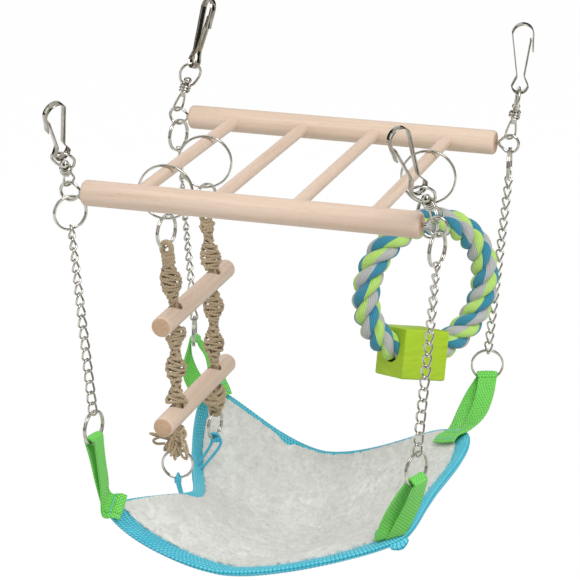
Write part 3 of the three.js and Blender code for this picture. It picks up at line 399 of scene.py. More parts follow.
class Nodes:
    """Short calls that build a node tree."""

    def __init__(self, tree):
        self.tree = tree

    def feed(self, socket, value):
        """Links another node's output to a socket, or sets the socket's own value."""
        if isinstance(value, bpy.types.NodeSocket):
            self.tree.links.new(value, socket)
        else:
            socket.default_value = value

    def node(self, kind, *values, **named):
        """A node with its inputs set in order or by name, and its own settings by name."""
        n = self.tree.nodes.new(kind)
        for key, value in named.items():
            if hasattr(n, key):
                setattr(n, key, value)
            else:
                self.feed(n.inputs[key], value)
        for socket, value in zip(n.inputs, values):
            self.feed(socket, value)
        return n

    def math(self, operation, *values):
        return self.node("ShaderNodeMath", *values, operation=operation).outputs[0]

    def add(self, a, b):
        return self.math("ADD", a, b)

    def mul(self, a, b, *plus):
        return self.math("MULTIPLY_ADD" if plus else "MULTIPLY", a, b, *plus)

    def ripple(self, value):
        return self.math("ABSOLUTE", self.math("SINE", value))

    def scaled(self, vector, scale):
        return self.node("ShaderNodeMapping", Vector=vector, Scale=scale).outputs["Vector"]

    def coords(self, source="Object", scale=(1, 1, 1)):
        return self.scaled(self.node("ShaderNodeTexCoord").outputs[source], scale)

    def noise(self, vector, scale, detail, rough, distortion=0.0):
        return self.node("ShaderNodeTexNoise", Vector=vector, Scale=scale, Detail=detail, Roughness=rough,
                         Distortion=distortion).outputs["Fac"]

    def cloud(self, scale, *look):
        return self.noise(self.coords(), scale, *look)

    def ramp(self, fac, *stops):
        n = self.node("ShaderNodeValToRGB", Fac=fac)
        for _ in stops[2:]:
            n.color_ramp.elements.new(0.5)
        for element, (position, colour) in zip(n.color_ramp.elements, stops):
            element.position, element.color = position, colour
        return n.outputs["Color"]

    def split(self, vector):
        return self.node("ShaderNodeSeparateXYZ", vector).outputs

    def mix(self, fac, a, b):
        n = self.node("ShaderNodeMix", data_type="RGBA")
        # Sockets 6 and 7 are the node's two colours, and its third output is the mixed colour
        for i, value in ((0, fac), (6, a), (7, b)):
            self.feed(n.inputs[i], value)
        return n.outputs[2]

    def tint(self, colour, other, fac, start, stop, most=1.0, least=0.0):
        """Brings in another colour, from least to most as fac goes from start to stop."""
        share = self.ramp(fac, *((at, (v, v, v, 1)) for at, v in ((start, least), (stop, most))))
        return self.mix(share, colour, other)

    def to_viewer(self, plain, shown):
        """One shader for plain light, and another for what the camera and mirrors show."""
        rays = self.node("ShaderNodeLightPath").outputs
        seen = self.math("MAXIMUM", rays["Is Camera Ray"], rays["Is Transmission Ray"])
        seen = self.math("MAXIMUM", seen, rays["Is Glossy Ray"])
        return self.node("ShaderNodeMixShader", seen, plain, shown).outputs[0]


class Mat(Nodes):
    """A principled material."""

    def __init__(self, name, roughness, metallic=0.0, sheen=0.0):
        self.mat = bpy.data.materials.new(name)
        self.mat.use_nodes = True
        super().__init__(self.mat.node_tree)
        self.bsdf = self.tree.nodes["Principled BSDF"]
        for key, value in (("Roughness", roughness), ("Metallic", metallic), ("Sheen Weight", sheen)):
            self.bsdf.inputs[key].default_value = value

    def finish(self, colour, height=None, strength=0.0, distance=0.0, rough=None):
        self.feed(self.bsdf.inputs["Base Color"], colour)
        if height:
            bump = self.node("ShaderNodeBump", Strength=strength, Distance=distance, Height=height)
            self.feed(self.bsdf.inputs["Normal"], bump.outputs["Normal"])
        if rough:
            self.feed(self.bsdf.inputs["Roughness"], rough)
        return self.mat


def beech(name, axis):
    """Pale beech with fine streaks and short flecks along the grain, and plain end grain."""
    m = Mat(name, 0.55)
    coords = m.node("ShaderNodeTexCoord").outputs
    own = m.node("ShaderNodeObjectInfo").outputs["Random"]
    moved = m.node("ShaderNodeVectorMath", coords["Object"], own, operation="ADD").outputs[0]

    def grain(along, across, detail, rough, distortion=0.0):
        scale = [along if i == axis else across for i in range(3)]
        return m.noise(m.scaled(moved, scale), 1, detail, rough, distortion)

    streak, broad, fleck = grain(9, 260, 5, 0.62, 0.4), grain(6, 45, 2, 0.5), grain(170, 1700, 1, 0.5)
    colour = m.ramp(streak, (0.3, srgb(211, 185, 161)), (0.5, srgb(222, 199, 178)), (0.72, srgb(231, 211, 192)))
    colour = m.tint(colour, srgb(225, 199, 180), broad, 0.35, 0.7, 0.55)
    colour = m.tint(colour, srgb(190, 155, 126), fleck, 0.62, 0.74, 0.32)
    pores, rings = grain(900, 900, 2, 0.6), grain(40, 330, 3, 0.5, 1.2)
    ends = m.tint(srgb(204, 170, 140), srgb(184, 146, 114), pores, 0.4, 0.6, 0.6)
    ends = m.tint(ends, srgb(214, 182, 152), rings, 0.45, 0.6, 0.5)
    colour = m.tint(colour, ends, m.math("ABSOLUTE", m.split(coords["Normal"])[axis]), 0.82, 0.95)
    height = m.add(m.mul(streak, 0.7), m.mul(fleck, -0.4))
    return m.finish(colour, height, 0.25, 0.0002, m.mul(broad, 0.2, 0.45))


def nickel(name, low, high):
    """Plated metal: bright where it mirrors light, dull grey between, faintly clouded."""
    m = Mat(name, 0.2, metallic=1.0)
    cloud = m.cloud(300, 2, 0.5)
    colour = m.ramp(m.cloud(220, 3, 0.6), (0.35, low), (0.65, high))
    return m.finish(colour, cloud, 0.02, 0.0002, m.mul(cloud, 0.08, 0.03))


def woven(name, dark, mid, light, cell, bump, rib=None):
    """Woven tape: crossing threads from the piece's own map, and ribs both ways where rib is set."""
    m = Mat(name, 0.75, sheen=0.15)
    x, y = m.split(m.coords("UV"))[:2]
    sx, sy = (m.ripple(m.mul(t, pi / cell)) for t in (x, y))
    parity = m.add(*(m.math("FLOOR", m.math("DIVIDE", t, cell)) for t in (x, y)))
    odd = m.mul(m.math("FRACT", m.mul(parity, 0.5)), 2.0)
    over, under = m.mul(sx, m.mul(sy, 0.6, 0.4)), m.mul(m.mul(sx, sy), 0.45)
    weave = m.add(m.mul(over, odd), m.mul(under, m.math("SUBTRACT", 1.0, odd)))
    if rib:
        ribs = m.add(*(m.ripple(m.mul(t, pi / rib)) for t in (y, x)))
        weave = m.mul(weave, 0.4, m.mul(ribs, 0.3))
    value = m.add(m.mul(weave, 0.8), m.mul(m.cloud(900, 3, 0.6), 0.3))
    # Painted shade and highlight: the colour follows the bump's value, dark in the gaps between threads and ribs and
    # light on their crowns
    colour = m.ramp(value, (0.12, dark), (0.45, mid), (0.85, light))
    colour = m.tint(colour, mid, m.cloud(60, 2, 0.5), 0.4, 0.7, 0.3)
    return m.finish(colour, value, bump, 0.0006)


def fleece():
    """Sherpa pile: bright tufts with softly shaded hollows between them."""
    m = Mat("plush", 0.95, sheen=0.3)
    clump, curl = m.cloud(170, 4, 0.6, 1.2), m.cloud(620, 4, 0.7, 1.4)
    both = m.add(m.mul(clump, 0.6), m.mul(curl, 0.4))
    colour = m.ramp(both, (0.32, srgb(197, 198, 192)), (0.5, srgb(222, 223, 218)), (0.66, srgb(239, 240, 236)))
    colour = m.tint(colour, srgb(204, 205, 199), m.cloud(26, 3, 0.55), 0.35, 0.6, 0.0, 0.35)
    return m.finish(colour, both, 0.6, 0.0012)


def lining():
    """Plain white cloth of fine crossing threads."""
    m = Mat("backing", 0.85, sheen=0.1)
    threads = [m.noise(m.coords(scale=s), 1, 2, 0.5) for s in ((1800, 300, 300), (300, 1800, 300))]
    value = m.add(*(m.mul(thread, 0.5) for thread in threads))
    colour = m.ramp(value, (0.35, srgb(214, 215, 218)), (0.65, srgb(232, 233, 235)))
    colour = m.tint(colour, srgb(220, 222, 226), m.cloud(40, 2, 0.55), 0.4, 0.65, 0.4)
    return m.finish(colour, value, 0.35, 0.0003)


def yarn(name, dark, mid, light, twist, lines, bump):
    """Twisted fibre: fine lines that run round the strand, under a little fluff."""
    m = Mat(name, 0.95, sheen=0.2)
    x, y = m.split(m.coords("UV"))[:2]
    run = m.add(m.mul(x, lines), m.mul(y, twist))
    ply = m.ripple(m.mul(m.cloud(260, 2, 0.5), 2.6, run))
    fuzz = m.cloud(1100, 4, 0.7, 0.6)
    fibre = m.noise(m.coords("UV", (3.2, 0.5, 1)), 1, 3, 0.65)
    value = m.mul(ply, 0.45, m.add(m.mul(fuzz, 0.35), m.mul(fibre, 0.3)))
    # Painted shade and highlight: the colour follows the bump's value, darker in the grooves between the fine lines
    # and lighter on their crowns; fuzz and fibre vary it at random
    colour = m.ramp(value, (0.2, dark), (0.55, mid), (0.9, light))
    return m.finish(colour, value, bump, 0.0007)


def stained():
    """Lime stain over upright grain."""
    m = Mat("lime_block", 0.5)
    grain = m.noise(m.coords(scale=(60, 60, 420)), 1, 4, 0.6, 0.3)
    fine = m.noise(m.coords(scale=(300, 300, 1700)), 1, 2, 0.5)
    colour = m.ramp(grain, (0.3, srgb(160, 196, 28)), (0.55, srgb(170, 205, 34)), (0.75, srgb(180, 212, 46)))
    colour = m.tint(colour, srgb(148, 184, 24), fine, 0.55, 0.75, 0.2)
    return m.finish(colour, m.add(grain, m.mul(fine, 0.4)), 0.2, 0.0003, m.mul(grain, 0.2, 0.38))


BEECH_X, BEECH_Y = beech("beech_rail", 0), beech("beech_rung", 1)
NICKEL = nickel("nickel", srgb(178, 175, 163), srgb(208, 205, 196))
# The hook's flat strips take a darker copy of the nickel: painted shade that stands in for the dark reflections on
# their faces
NICKEL_STRIP_PAINTED_DARK = nickel("nickel_strip_painted_dark", srgb(142, 138, 126), srgb(176, 172, 161))
WEBBING = woven("webbing", srgb(62, 178, 46), srgb(112, 228, 86), srgb(186, 250, 146), 1.15, 0.8)
BINDING = woven("binding", srgb(0, 88, 128), srgb(14, 180, 210), srgb(144, 236, 246), 1.2, 0.9, RIB_PITCH)
THREAD = yarn("thread", srgb(40, 150, 180), srgb(100, 205, 224), srgb(170, 232, 240), 2.5, 3.0, 0.4)
CORD_BLUE = yarn("cord_blue", srgb(16, 120, 160), srgb(44, 176, 208), srgb(120, 214, 232), 2.2, 1.2, 0.5)
FLEECE, LINING = fleece(), lining()
JUTE = yarn("jute", srgb(134, 112, 83), srgb(177, 156, 124), srgb(209, 191, 162), 1.7, 1.9, 0.45)
ROPE_YARNS = [yarn(name, *(srgb(*shade) for shade in shades), 0.15, 2.4, 0.9) for name, *shades in (
    ("rope_lime", (150, 205, 70), (186, 231, 108), (212, 246, 150)),
    ("rope_teal", (20, 100, 134), (34, 134, 168), (88, 172, 196)),
    ("rope_grey", (156, 158, 157), (186, 188, 186), (212, 214, 212)))]
LIME = stained()


# Wood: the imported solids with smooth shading, and seats round the rungs
def polish(node, material, angle=38):
    obj = frame["nodes"][node]
    mesh = obj.data
    if "custom_normal" in mesh.attributes:
        mesh.attributes.remove(mesh.attributes["custom_normal"])
    mesh.polygons.foreach_set("use_smooth", [True] * len(mesh.polygons))
    obj.modifiers.new("weld", "WELD").merge_threshold = 1e-5
    obj.modifiers.new("edges", "EDGE_SPLIT").split_angle = rad(angle)
    mesh.materials.clear()
    mesh.materials.append(material)


for rail in ("front_rail", "rear_rail"):
    polish(rail, BEECH_X)
for wood in ("rung_1", "rung_2", "rung_3", "rung_4", "ladder_dowel_upper", "ladder_dowel_lower"):
    polish(wood, BEECH_Y)
polish("wood_block", LIME, 50)


# Seats round the rungs: lap over the rung, bevel, rim on the rail, thickness and how far the rim sinks in
SEAT_LAP, SEAT_BEVEL, SEAT_RIM, SEAT_SKIN, SEAT_SINK = 0.1, 0.2, 0.25, 0.04, 0.3


def rung_seats():
    """Thin seats of wood at the rungs' ends, lying on the rails' round faces."""
    shape = Shape()
    inner, outer = RUNG_D / 2 - SEAT_LAP, RUNG_D / 2 + CLEAR + SEAT_RIM
    profile = ((inner, SEAT_LAP), (inner + SEAT_BEVEL, SEAT_SKIN), (outer, SEAT_SKIN), (outer, -SEAT_SINK))

    def on_rail(x, side, r, lift, t):
        z = r * sin(t)
        return vec(x + r * cos(t), side * (RAIL_Y - sqrt((RAIL_D / 2) ** 2 - z * z) - lift), z)

    for x in RUNG_X:
        for side in (-1, 1):
            rows = [[on_rail(x, side, r, lift, t) for t in circle(32)] for r, lift in profile]
            shape.loft(rows, caps=False)
    return shape.piece("rung_seats", BEECH_X)


settle(rung_seats(), "deck", "beech")

# Split rings: how far the ends lie past the crossing and half its length, in radians, steps and soft edge
RING_ENDS, RING_CROSSING, RING_STEPS, RING_EDGE = 0.62, 0.42, 150, 0.22


def split_ring(name, diameter, turn, centre, body=None):
    """Two flat turns of wire that change places at the bottom."""
    middle, lift = (diameter - RING_RADIAL) / 2, RING_AXIAL + RING_TURN_GAP
    section = bevelled(RING_RADIAL / 2, RING_AXIAL / 2, RING_EDGE)
    rows = []
    for t in spaced(RING_ENDS, 2 * TAU - RING_ENDS, RING_STEPS):
        f = sin(min(max((t - TAU) / RING_CROSSING, -1), 1) * pi / 2)
        radial = vec(sin(t), 0, -cos(t))
        rows.append([radial * (middle + r) + vec(0, f * lift / 2 + a, 0) for r, a in section])
    Shape().loft(rows).stand_in(name, "wire", NICKEL, "nickel", body,
                                place=Matrix.Translation(centre) @ spin(turn))


# Corners: screw eye, swivel, hook, rings and chain
EYE_R = (EYE_DIAMETER - EYE_WIRE) / 2
EYE_X = RAIL_END + EYE_REACH - EYE_DIAMETER / 2
SMALL_IN = SMALL_RING / 2 - RING_RADIAL
EYE_RING_DROP = EYE_R - EYE_WIRE / 2 - PLAY + SMALL_IN
# The link's wire is drawn a little thin, so that it clears the eye when it tilts
LINK_SLACK = 0.08
# Gaps from stem to coil and from turn to turn, points in a turn, and the share of the bow that is round
COIL_GAP, TURN_GAP, COIL_POINTS, BOW_CROWN = 0.35, 0.08, 20, 0.45
STRIP_EDGE, STRIP_SMOOTH = 0.2, 50


def screw_eye(corner, x, y):
    neck = EYE_REACH - EYE_DIAMETER / 2 - EYE_WIRE / 2
    tangent = pi - acos(min(EYE_R / neck, 0.95))
    path = [vec(-neck)] + arc(EYE_R, EYE_R, -tangent, tangent, 40)
    shape = Shape().tube(path, EYE_WIRE / 2, 12, True)
    shank = [vec(px) for px in spaced(RAIL_END - SHANK_LENGTH - EYE_X, -neck + EYE_WIRE, 12)]
    shape.tube(shank, SHANK_D / 2, 14)
    place = Matrix.Translation((x * EYE_X, y * RAIL_Y, 0))
    if x < 0:
        place = place @ spin(180)
    shape.stand_in(f"screw_eye_{corner}", "wire", NICKEL, "nickel", "deck", place=place)


def hook_lines():
    """Middle lines of the hook, from its nose over crown and foot to its waist, and of its gate."""
    crown, foot = (HOOK_WIDTH - STRIP_THICK) / 2, (HOOK_FOOT - STRIP_THICK) / 2
    waist, crown_z = (HOOK_WAIST - STRIP_THICK) / 2, HOOK_HEIGHT - STRIP_THICK - crown
    bend, bend_z = waist * 1.25, WAIST_Z - 2
    line = [vec(crown + STRIP_THICK / 2, 0, NOSE_Z), vec(crown + 0.15, 0, NOSE_Z + 4)]
    line += arc(crown, crown, 0, pi, 14, crown_z)
    line += [vec(-crown + (crown - waist) * f, 0, crown_z + (WAIST_Z - crown_z) * f) for f in (0.3, 0.6, 0.85)]
    line += [vec(-waist, 0, WAIST_Z), vec(-bend, 0, bend_z)] + arc(foot, foot, pi, TAU, 12, foot)
    line += [vec(bend, 0, bend_z), vec(waist, 0, WAIST_Z)]
    tip = vec(crown - STRIP_THICK - 2 * CLEAR, 0, GATE_TIP_Z)
    return smoothed(line, 3), [line[-1].lerp(tip, f) for f in spaced(0, 1, 14)]


def strip(line):
    """Flat strip bent along a line in the plane across the bow's wire, with softened edges."""
    section = bevelled(STRIP_THICK / 2, STRIP_WIDTH / 2, STRIP_EDGE)
    return Shape().loft([[vec(-w, -(p.x - d.z * n), p.z + d.x * n) for n, w in section]
                         for p, d in zip(line, tangents(line))])


def hanger(corner, x, y, front, right, link, bow, tilt, yaw):
    """Link with a headed stem, bow wound round it, and the hook and gate that sit on the bow."""
    axis = vec(tan(rad(right)), -tan(rad(front)), 1).normalized()
    across = (vec(1, 0, 0) - axis * axis.x).normalized()
    lean = Matrix((across, axis.cross(across), axis)).transposed().to_4x4()
    lean = Matrix.Translation((x * EYE_X, y * RAIL_Y, EYE_R)) @ lean
    turned = lambda a: lean @ spin(a)
    bottom = -(EYE_WIRE + LINK_WIRE) / 2 - PLAY
    neck, half = bottom + LINK_HEIGHT, (LINK_WIDTH - LINK_WIRE) / 2
    shoulder, throat = bottom + half * 1.9, neck - half * 0.35
    pear = arc(half, half, pi, TAU, 8, bottom + half)
    for share, z in ((0.86, shoulder), (0.42, throat), (-0.42, throat), (-0.86, shoulder)):
        pear.append(vec(half * share, 0, z))
    coil_r, pitch = STEM / 2 + COIL_GAP + BOW_WIRE / 2, BOW_WIRE + TURN_GAP
    coil_low = neck + CLEAR + BOW_WIRE / 2
    coil_top = coil_low + pitch * COIL_TURNS
    head_z = coil_top + BOW_WIRE / 2 + CLEAR + HEAD * 0.4
    shape = Shape().tube(smoothed(pear, 4, True), LINK_WIRE / 2 - LINK_SLACK, 10, True)
    profile = [(z, STEM / 2) for z in (neck - half * 0.75, coil_low - 0.6, coil_top + 0.6)]
    for t in map(rad, range(40, 181, 14)):
        profile.append((head_z - 0.8 * HEAD / 2 * cos(t), max(HEAD / 2 * sin(t), 0.05)))
    shape.loft([[oval(t, r, r, z) for t in circle(16)] for z, r in profile])
    shape.stand_in(f"swivel_link_{corner}", "wire", NICKEL, "nickel", f"link_{corner}", place=turned(link))

    path = []
    for i in range(round(COIL_TURNS * COIL_POINTS)):
        t = (i / COIL_POINTS - COIL_TURNS) * 2 * pi
        path.append(oval(t, coil_r, coil_r, coil_low + pitch * i / COIL_POINTS))
    wide, top, crown = (BOW_WIDTH - BOW_WIRE) / 2, coil_top + BOW_HEIGHT, BOW_HEIGHT * BOW_CROWN
    crown_z, foot_x = coil_top + BOW_HEIGHT * (1 - BOW_CROWN), wide * 0.72
    arch = [vec(coil_r, 0, coil_top), vec(foot_x, 0, coil_top + BOW_HEIGHT * 0.1)]
    arch += arc(wide, crown, rad(-20), rad(200), 12, crown_z)
    arch += [vec(-foot_x, 0, coil_top + BOW_HEIGHT * 0.16), vec(-coil_r, 0, coil_top + pitch * 0.62)]
    shape = Shape().tube(path + smoothed(arch, 3), BOW_WIRE / 2)
    shape.stand_in(f"swivel_bow_{corner}", "wire", NICKEL, "nickel", f"bow_{corner}", place=turned(bow))

    # The hook's foot hangs under the bow's crown, clear of both curves
    slant, foot = rad(yaw), (HOOK_FOOT - STRIP_THICK) / 2
    reach = (STRIP_WIDTH + BOW_WIRE * abs(sin(slant))) / 2 / cos(slant)
    bow_curve = crown * (1 - sqrt(1 - (reach / wide) ** 2))
    foot_curve = foot - sqrt(foot ** 2 - (reach * sin(slant)) ** 2)
    seat = -(BOW_WIRE + STRIP_THICK) / 2 - bow_curve - foot_curve - HOOK_PLAY
    place = turned(bow) @ Matrix.Translation(up(top)) @ spin(tilt, "X") @ spin(yaw) @ Matrix.Translation(up(seat))
    line, gate = hook_lines()
    strip(line).stand_in(f"snap_hook_{corner}", "strip", NICKEL_STRIP_PAINTED_DARK, "nickel", f"hook_{corner}",
                         place=place, smooth=STRIP_SMOOTH)
    leaf = strip(gate).piece(f"snap_gate_{corner}_strip", NICKEL_STRIP_PAINTED_DARK, place, STRIP_SMOOTH)
    at = lambda k: to_scene(place @ vec(0, -gate[k].x, gate[k].z))
    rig.blend(leaf, f"hook_{corner}", f"gate_{corner}", start=at(0), end=at(4))
    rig.replaces(leaf, f"snap_gate_{corner}")
    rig.slot(leaf, "nickel")


def chain(corner, start, end, top_turn, end_turn):
    """Curb chain: equal ovals, each twisted a quarter turn."""
    span = end - start
    contact = CHAIN_WIRE - CHAIN_BITE
    count = round((span.length - contact) / CHAIN_PITCH)
    pitch = (span.length - contact) / count
    half, wide = (pitch + contact) / 2, (CHAIN_WIDTH - CHAIN_WIRE) / 2
    spread = ((end_turn - top_turn + 180) % 180) - 90
    shape = Shape()
    for i in range(count):
        turn = Matrix.Rotation(rad(top_turn + 45 + spread * i / (count - 1)), 3, "Z")
        path = []
        for way in (1, -1):
            for t in spaced(0, pi, 8):
                x, z = way * wide * cos(t), way * (half - wide + wide * sin(t))
                path.append(turn @ oval(pi / 4 * z / half, x, x, z) + up(-(half + i * pitch)))
        shape.tube(path, CHAIN_WIRE / 2, 8, True)
    hang = up(-1).rotation_difference(span.normalized()).to_matrix().to_4x4()
    shape.stand_in(f"chain_{corner}", "links", NICKEL, "nickel", place=Matrix.Translation(start) @ hang)


# The cloth's surface: u and v run from -1 to 1, from left to right and from front to rear
def sagging(u, v):
    west, south = (1 - u) / 2, (1 - v) / 2
    front, rear = CLOTH["fl"].lerp(CLOTH["fr"], 1 - west), CLOTH["rl"].lerp(CLOTH["rr"], 1 - west)
    p = front.lerp(rear, 1 - south)
    for edge, t, share, way in (("front", u, south, vec(0, 1)), ("rear", u, 1 - south, vec(0, -1)),
                                ("left", v, west, vec(1, 0)), ("right", v, 1 - west, vec(-1, 0))):
        sag, sag_at, pull, pull_at, bend = EDGE[edge]
        depth = lambda most: 1 - abs(t - most * (1 - t * t)) ** bend
        p = p + (way * (pull * depth(pull_at) * share) + up(-sag * depth(sag_at) * share))
    return p


CLOTH_STEP = 0.02


def cloth_at(a, b, height=0.0):
    """A point of the cloth between its four sagging edges, some way above or under it."""
    p = sagging(a, b)
    normal = (sagging(a + CLOTH_STEP, b) - p).cross(sagging(a, b + CLOTH_STEP) - p).normalized()
    return p + normal * height


def blunt(u, v, folded=0.0):
    """The cloth's corners are cut blunt, and may be folded in further."""
    ring = max(abs(u), abs(v), 1e-6)
    share = 1 - (CORNER_ROUNDING + folded) * (u * v / ring ** 2) ** 4 * ring ** 2
    return u * share, v * share


def cloth(u, v, height=0.0):
    return cloth_at(*blunt(u, v, CORNER_FOLD["rear_right"] if u > 0 and v > 0 else 0), height)


def inset(mm):
    return 1 - mm / CLOTH_HX, 1 - mm / CLOTH_HY


# How each band lies: sewn length on the pile, how far its two ends lie beside each other,
# their shift along the corner, their turn from the corner's diagonal, and how far the band gathers above them
WEB_LAY = dict(front_left=(10, 0.25, 0, 0, 0.34), front_right=(9, 0.5, -7, 45, 0.08),
               rear_left=(12, 1.0, 0, 0, 0.12), rear_right=(14, 0.9, 12, 0, 0.12))
WEB_EDGE, WEB_CUP, GATHER_AT, GATHER_LENGTH = 0.35, 0.45, (0.27, 0.73), 0.1
DASHES, DASH_LENGTH, DASH_R = 5, 1.6, 0.28


def webbing(corner, x, y, turn, ring):
    """A band over the corner ring's lower wire, both ends sewn down at the cloth's corner."""
    sewn_length, beside, shift, slew, gather = WEB_LAY[corner]
    along = vec(cos(rad(turn)), sin(rad(turn)))
    across = vec(-along.y, along.x)
    half = WEB_THICK / 2
    seat = sqrt(SMALL_IN ** 2 - (WEB_WIDTH / 2) ** 2) - WEB_PLAY - half
    loop_r = RING_AXIAL + RING_TURN_GAP + WEB_PLAY + WEB_THICK
    hang = ring + up(-seat - loop_r)
    # Directions in the cloth: along its two edges, inwards between them, and askew from one to the other
    a, b = blunt(x, y, CORNER_FOLD.get(corner, 0))
    tip = cloth_at(a, b)
    along_x, along_y = cloth_at(a - x * CLOTH_STEP, b) - tip, cloth_at(a, b - y * CLOTH_STEP) - tip
    length_x, length_y = along_x.length, along_y.length
    ex, ey = along_x.normalized(), along_y.normalized()
    total, apart = (ex + ey).length, (ex - ey).length
    skew, inwards = (ex - ey).normalized(), (ex + ey).normalized()
    facing = copysign(1, skew.dot(along))
    skew = skew * facing
    slew_cos, slew_sin = cos(rad(slew)), sin(rad(slew))
    spread = copysign(WEB_WIDTH / 2 + CLEAR, across.dot(skew)) * beside

    def sewn(inward, aside, height):
        inward, aside = slew_cos * inward - slew_sin * aside, slew_sin * inward + slew_cos * aside
        sx = inward / total + facing * aside / apart
        sy = inward / total - facing * aside / apart
        return cloth_at(a - x * CLOTH_STEP * sx / length_x, b - y * CLOTH_STEP * sy / length_y, height)

    skew = skew * slew_cos - inwards * slew_sin
    on_edge = BINDING_THICK / 2 + CLEAR + half
    on_plush = PLUSH_THICK + 2.5 * CLEAR + half
    start = sewn(0, 0, on_edge)

    def end(side):
        """The band's middle and its direction across, from a sewn end up to the ring."""
        rows = []
        over = (1 - beside) * WEB_THICK * (1 + side) / 2
        for inward, height in ((sewn_length, on_plush - 0.6), (sewn_length * 0.6, on_plush), (0, on_edge)):
            height += over
            low, mid, high = (sewn(inward, shift + side * spread + f * WEB_WIDTH, height) for f in (-0.5, 0, 0.5))
            normal = sewn(inward, shift + side * spread, height + 1) - mid
            edge = (high - low).normalized() * (WEB_WIDTH / 2)
            rise = max(0, normal.dot(low - mid + edge), normal.dot(high - mid - edge))
            rows.append((mid + normal * rise, edge.normalized()))
        for t in (0.35, 0.7, 1):
            aside = shift * (1 - t ** 1.4) + side * spread * (1 - t ** 3)
            p = start.lerp(hang, t) + skew * aside + across * (side * loop_r * sqrt(t))
            rows.append((p, skew.lerp(along, t).normalized()))
        return rows

    over_wire = [(hang + across * (loop_r * cos(t)) + up(loop_r * sin(t)), along)
                 for t in map(rad, (150, 120, 90, 60, 30))]
    rows = end(-1) + over_wire + end(1)[::-1]
    path, wides = smoothed([p for p, _ in rows], 5), smoothed([w for _, w in rows], 5)
    w, bevel = WEB_WIDTH / 2, WEB_EDGE - half
    section = [(-w, bevel), *((q, -half) for q in spaced(-w + WEB_EDGE, w - WEB_EDGE, 10)), (w, bevel)]
    section += [(q, -r) for q, r in reversed(section)]
    band = []
    for i, (p, wide, d) in enumerate(zip(path, wides, tangents(path))):
        wide = wide.normalized()
        normal = d.cross(wide).normalized()
        f = i / (len(path) - 1)
        cup = WEB_CUP * sin(pi * f) ** 2 * sin(9 * f + x + 2 * y)
        waist = 1 - gather * sum(exp(-((f - at) / GATHER_LENGTH) ** 2) for at in GATHER_AT)
        band.append([p + wide * (q * waist) + normal * (r + cup * (q / w) ** 2) for q, r in section])
    Shape().loft(band).stand_in(f"webbing_loop_{corner}", "band", WEBBING, "webbing", "hammock", smooth=55)
    # Dashes of thread across both sewn ends
    dashes, lift = Shape(), on_plush + half + 0.25
    for side in (-1, 1):
        for inward in (sewn_length * 0.3, sewn_length * 0.8):
            for k in range(DASHES):
                q = shift + side * spread + (k - 2) * WEB_WIDTH / DASHES
                run = [sewn(inward, q + g * DASH_LENGTH, lift - 0.35 * abs(g)) for g in spaced(-0.5, 0.5, 4)]
                dashes.tube(run, DASH_R, 6)
    settle(dashes.piece(f"webbing_stitches_{corner}", THREAD), "hammock", "binding")


for corner, (x, y, eye_turn, corner_turn, *lie) in HANGERS.items():
    screw_eye(corner, x, y)
    hanger(corner, x, y, *lie)
    eye_ring = vec(x * EYE_X, y * RAIL_Y, -EYE_RING_DROP)
    corner_ring = vec(x * CORNER_RING[0], y * CORNER_RING[1], CORNER_RING[2])
    split_ring(f"eye_ring_{corner}", SMALL_RING, eye_turn, eye_ring)
    seat = up(SMALL_IN - CHAIN_PLAY - CHAIN_WIRE / 2)
    chain(corner, eye_ring - seat, corner_ring + seat, eye_turn, corner_turn)
    split_ring(f"corner_ring_{corner}", SMALL_RING, corner_turn, corner_ring)
    webbing(corner, x, y, corner_turn, corner_ring)


# Hammock: plush, backing, bound edge, stitches and cord loops
# The pile lies over the binding at the rear and front left, and stops short of it elsewhere;
# at one place of the rear edge the twisted tape lies bare
TWIST_AT, TWIST_BARE, TWIST_LENGTH, FRONT_OVERLAP = -0.33, 2.6, 0.06, 2.6
# How far each layer stops short of the left, right, front and rear rim and of the tied part of the left rim
PLUSH_MARGINS = (2.0, 8.4, 8.4, 2.2, 7.6)
BACKING_MARGINS = (6.5, 6.5, 6.5, 6.5, 6.5)
PLUSH_CELLS, BACKING_CELLS, PILE_GIVE = 190, 60, 0.6
# The pile's rim takes up one part in this many of the cloth; size and fineness of its raggedness
RIM_PARTS, RAGGED = 12, ((1.4, 0.42), (1.3, 0.9))
# Heights of its folds, tufts and curls, and how far its face drops at the rim
FOLD_LIFT, TUFT_LIFT, CURL_LIFT, RIM_DROP = 1.7, 1.1, 0.6, 1.1


def eased(f):
    f = min(max(f, 0), 1)
    return f ** 2 * (3 - 2 * f)


def tufted(p, under, rim):
    """Lifts a point of the pile's face into folds, tufts and curls, and rounds it off at the rim."""
    tuft = 0.5 - abs(noise(p * 0.26)) * 1.6
    curl = 0.4 - abs(noise(p * 0.62))
    fold = noise(vec(p.x * 0.05, p.y * 0.03, p.z * 0.05))
    lift = FOLD_LIFT * fold + TUFT_LIFT * tuft + CURL_LIFT * curl
    return p + (p - under).normalized() * (lift * (0.35 + 0.65 * rim) - RIM_DROP * (1 - rim))


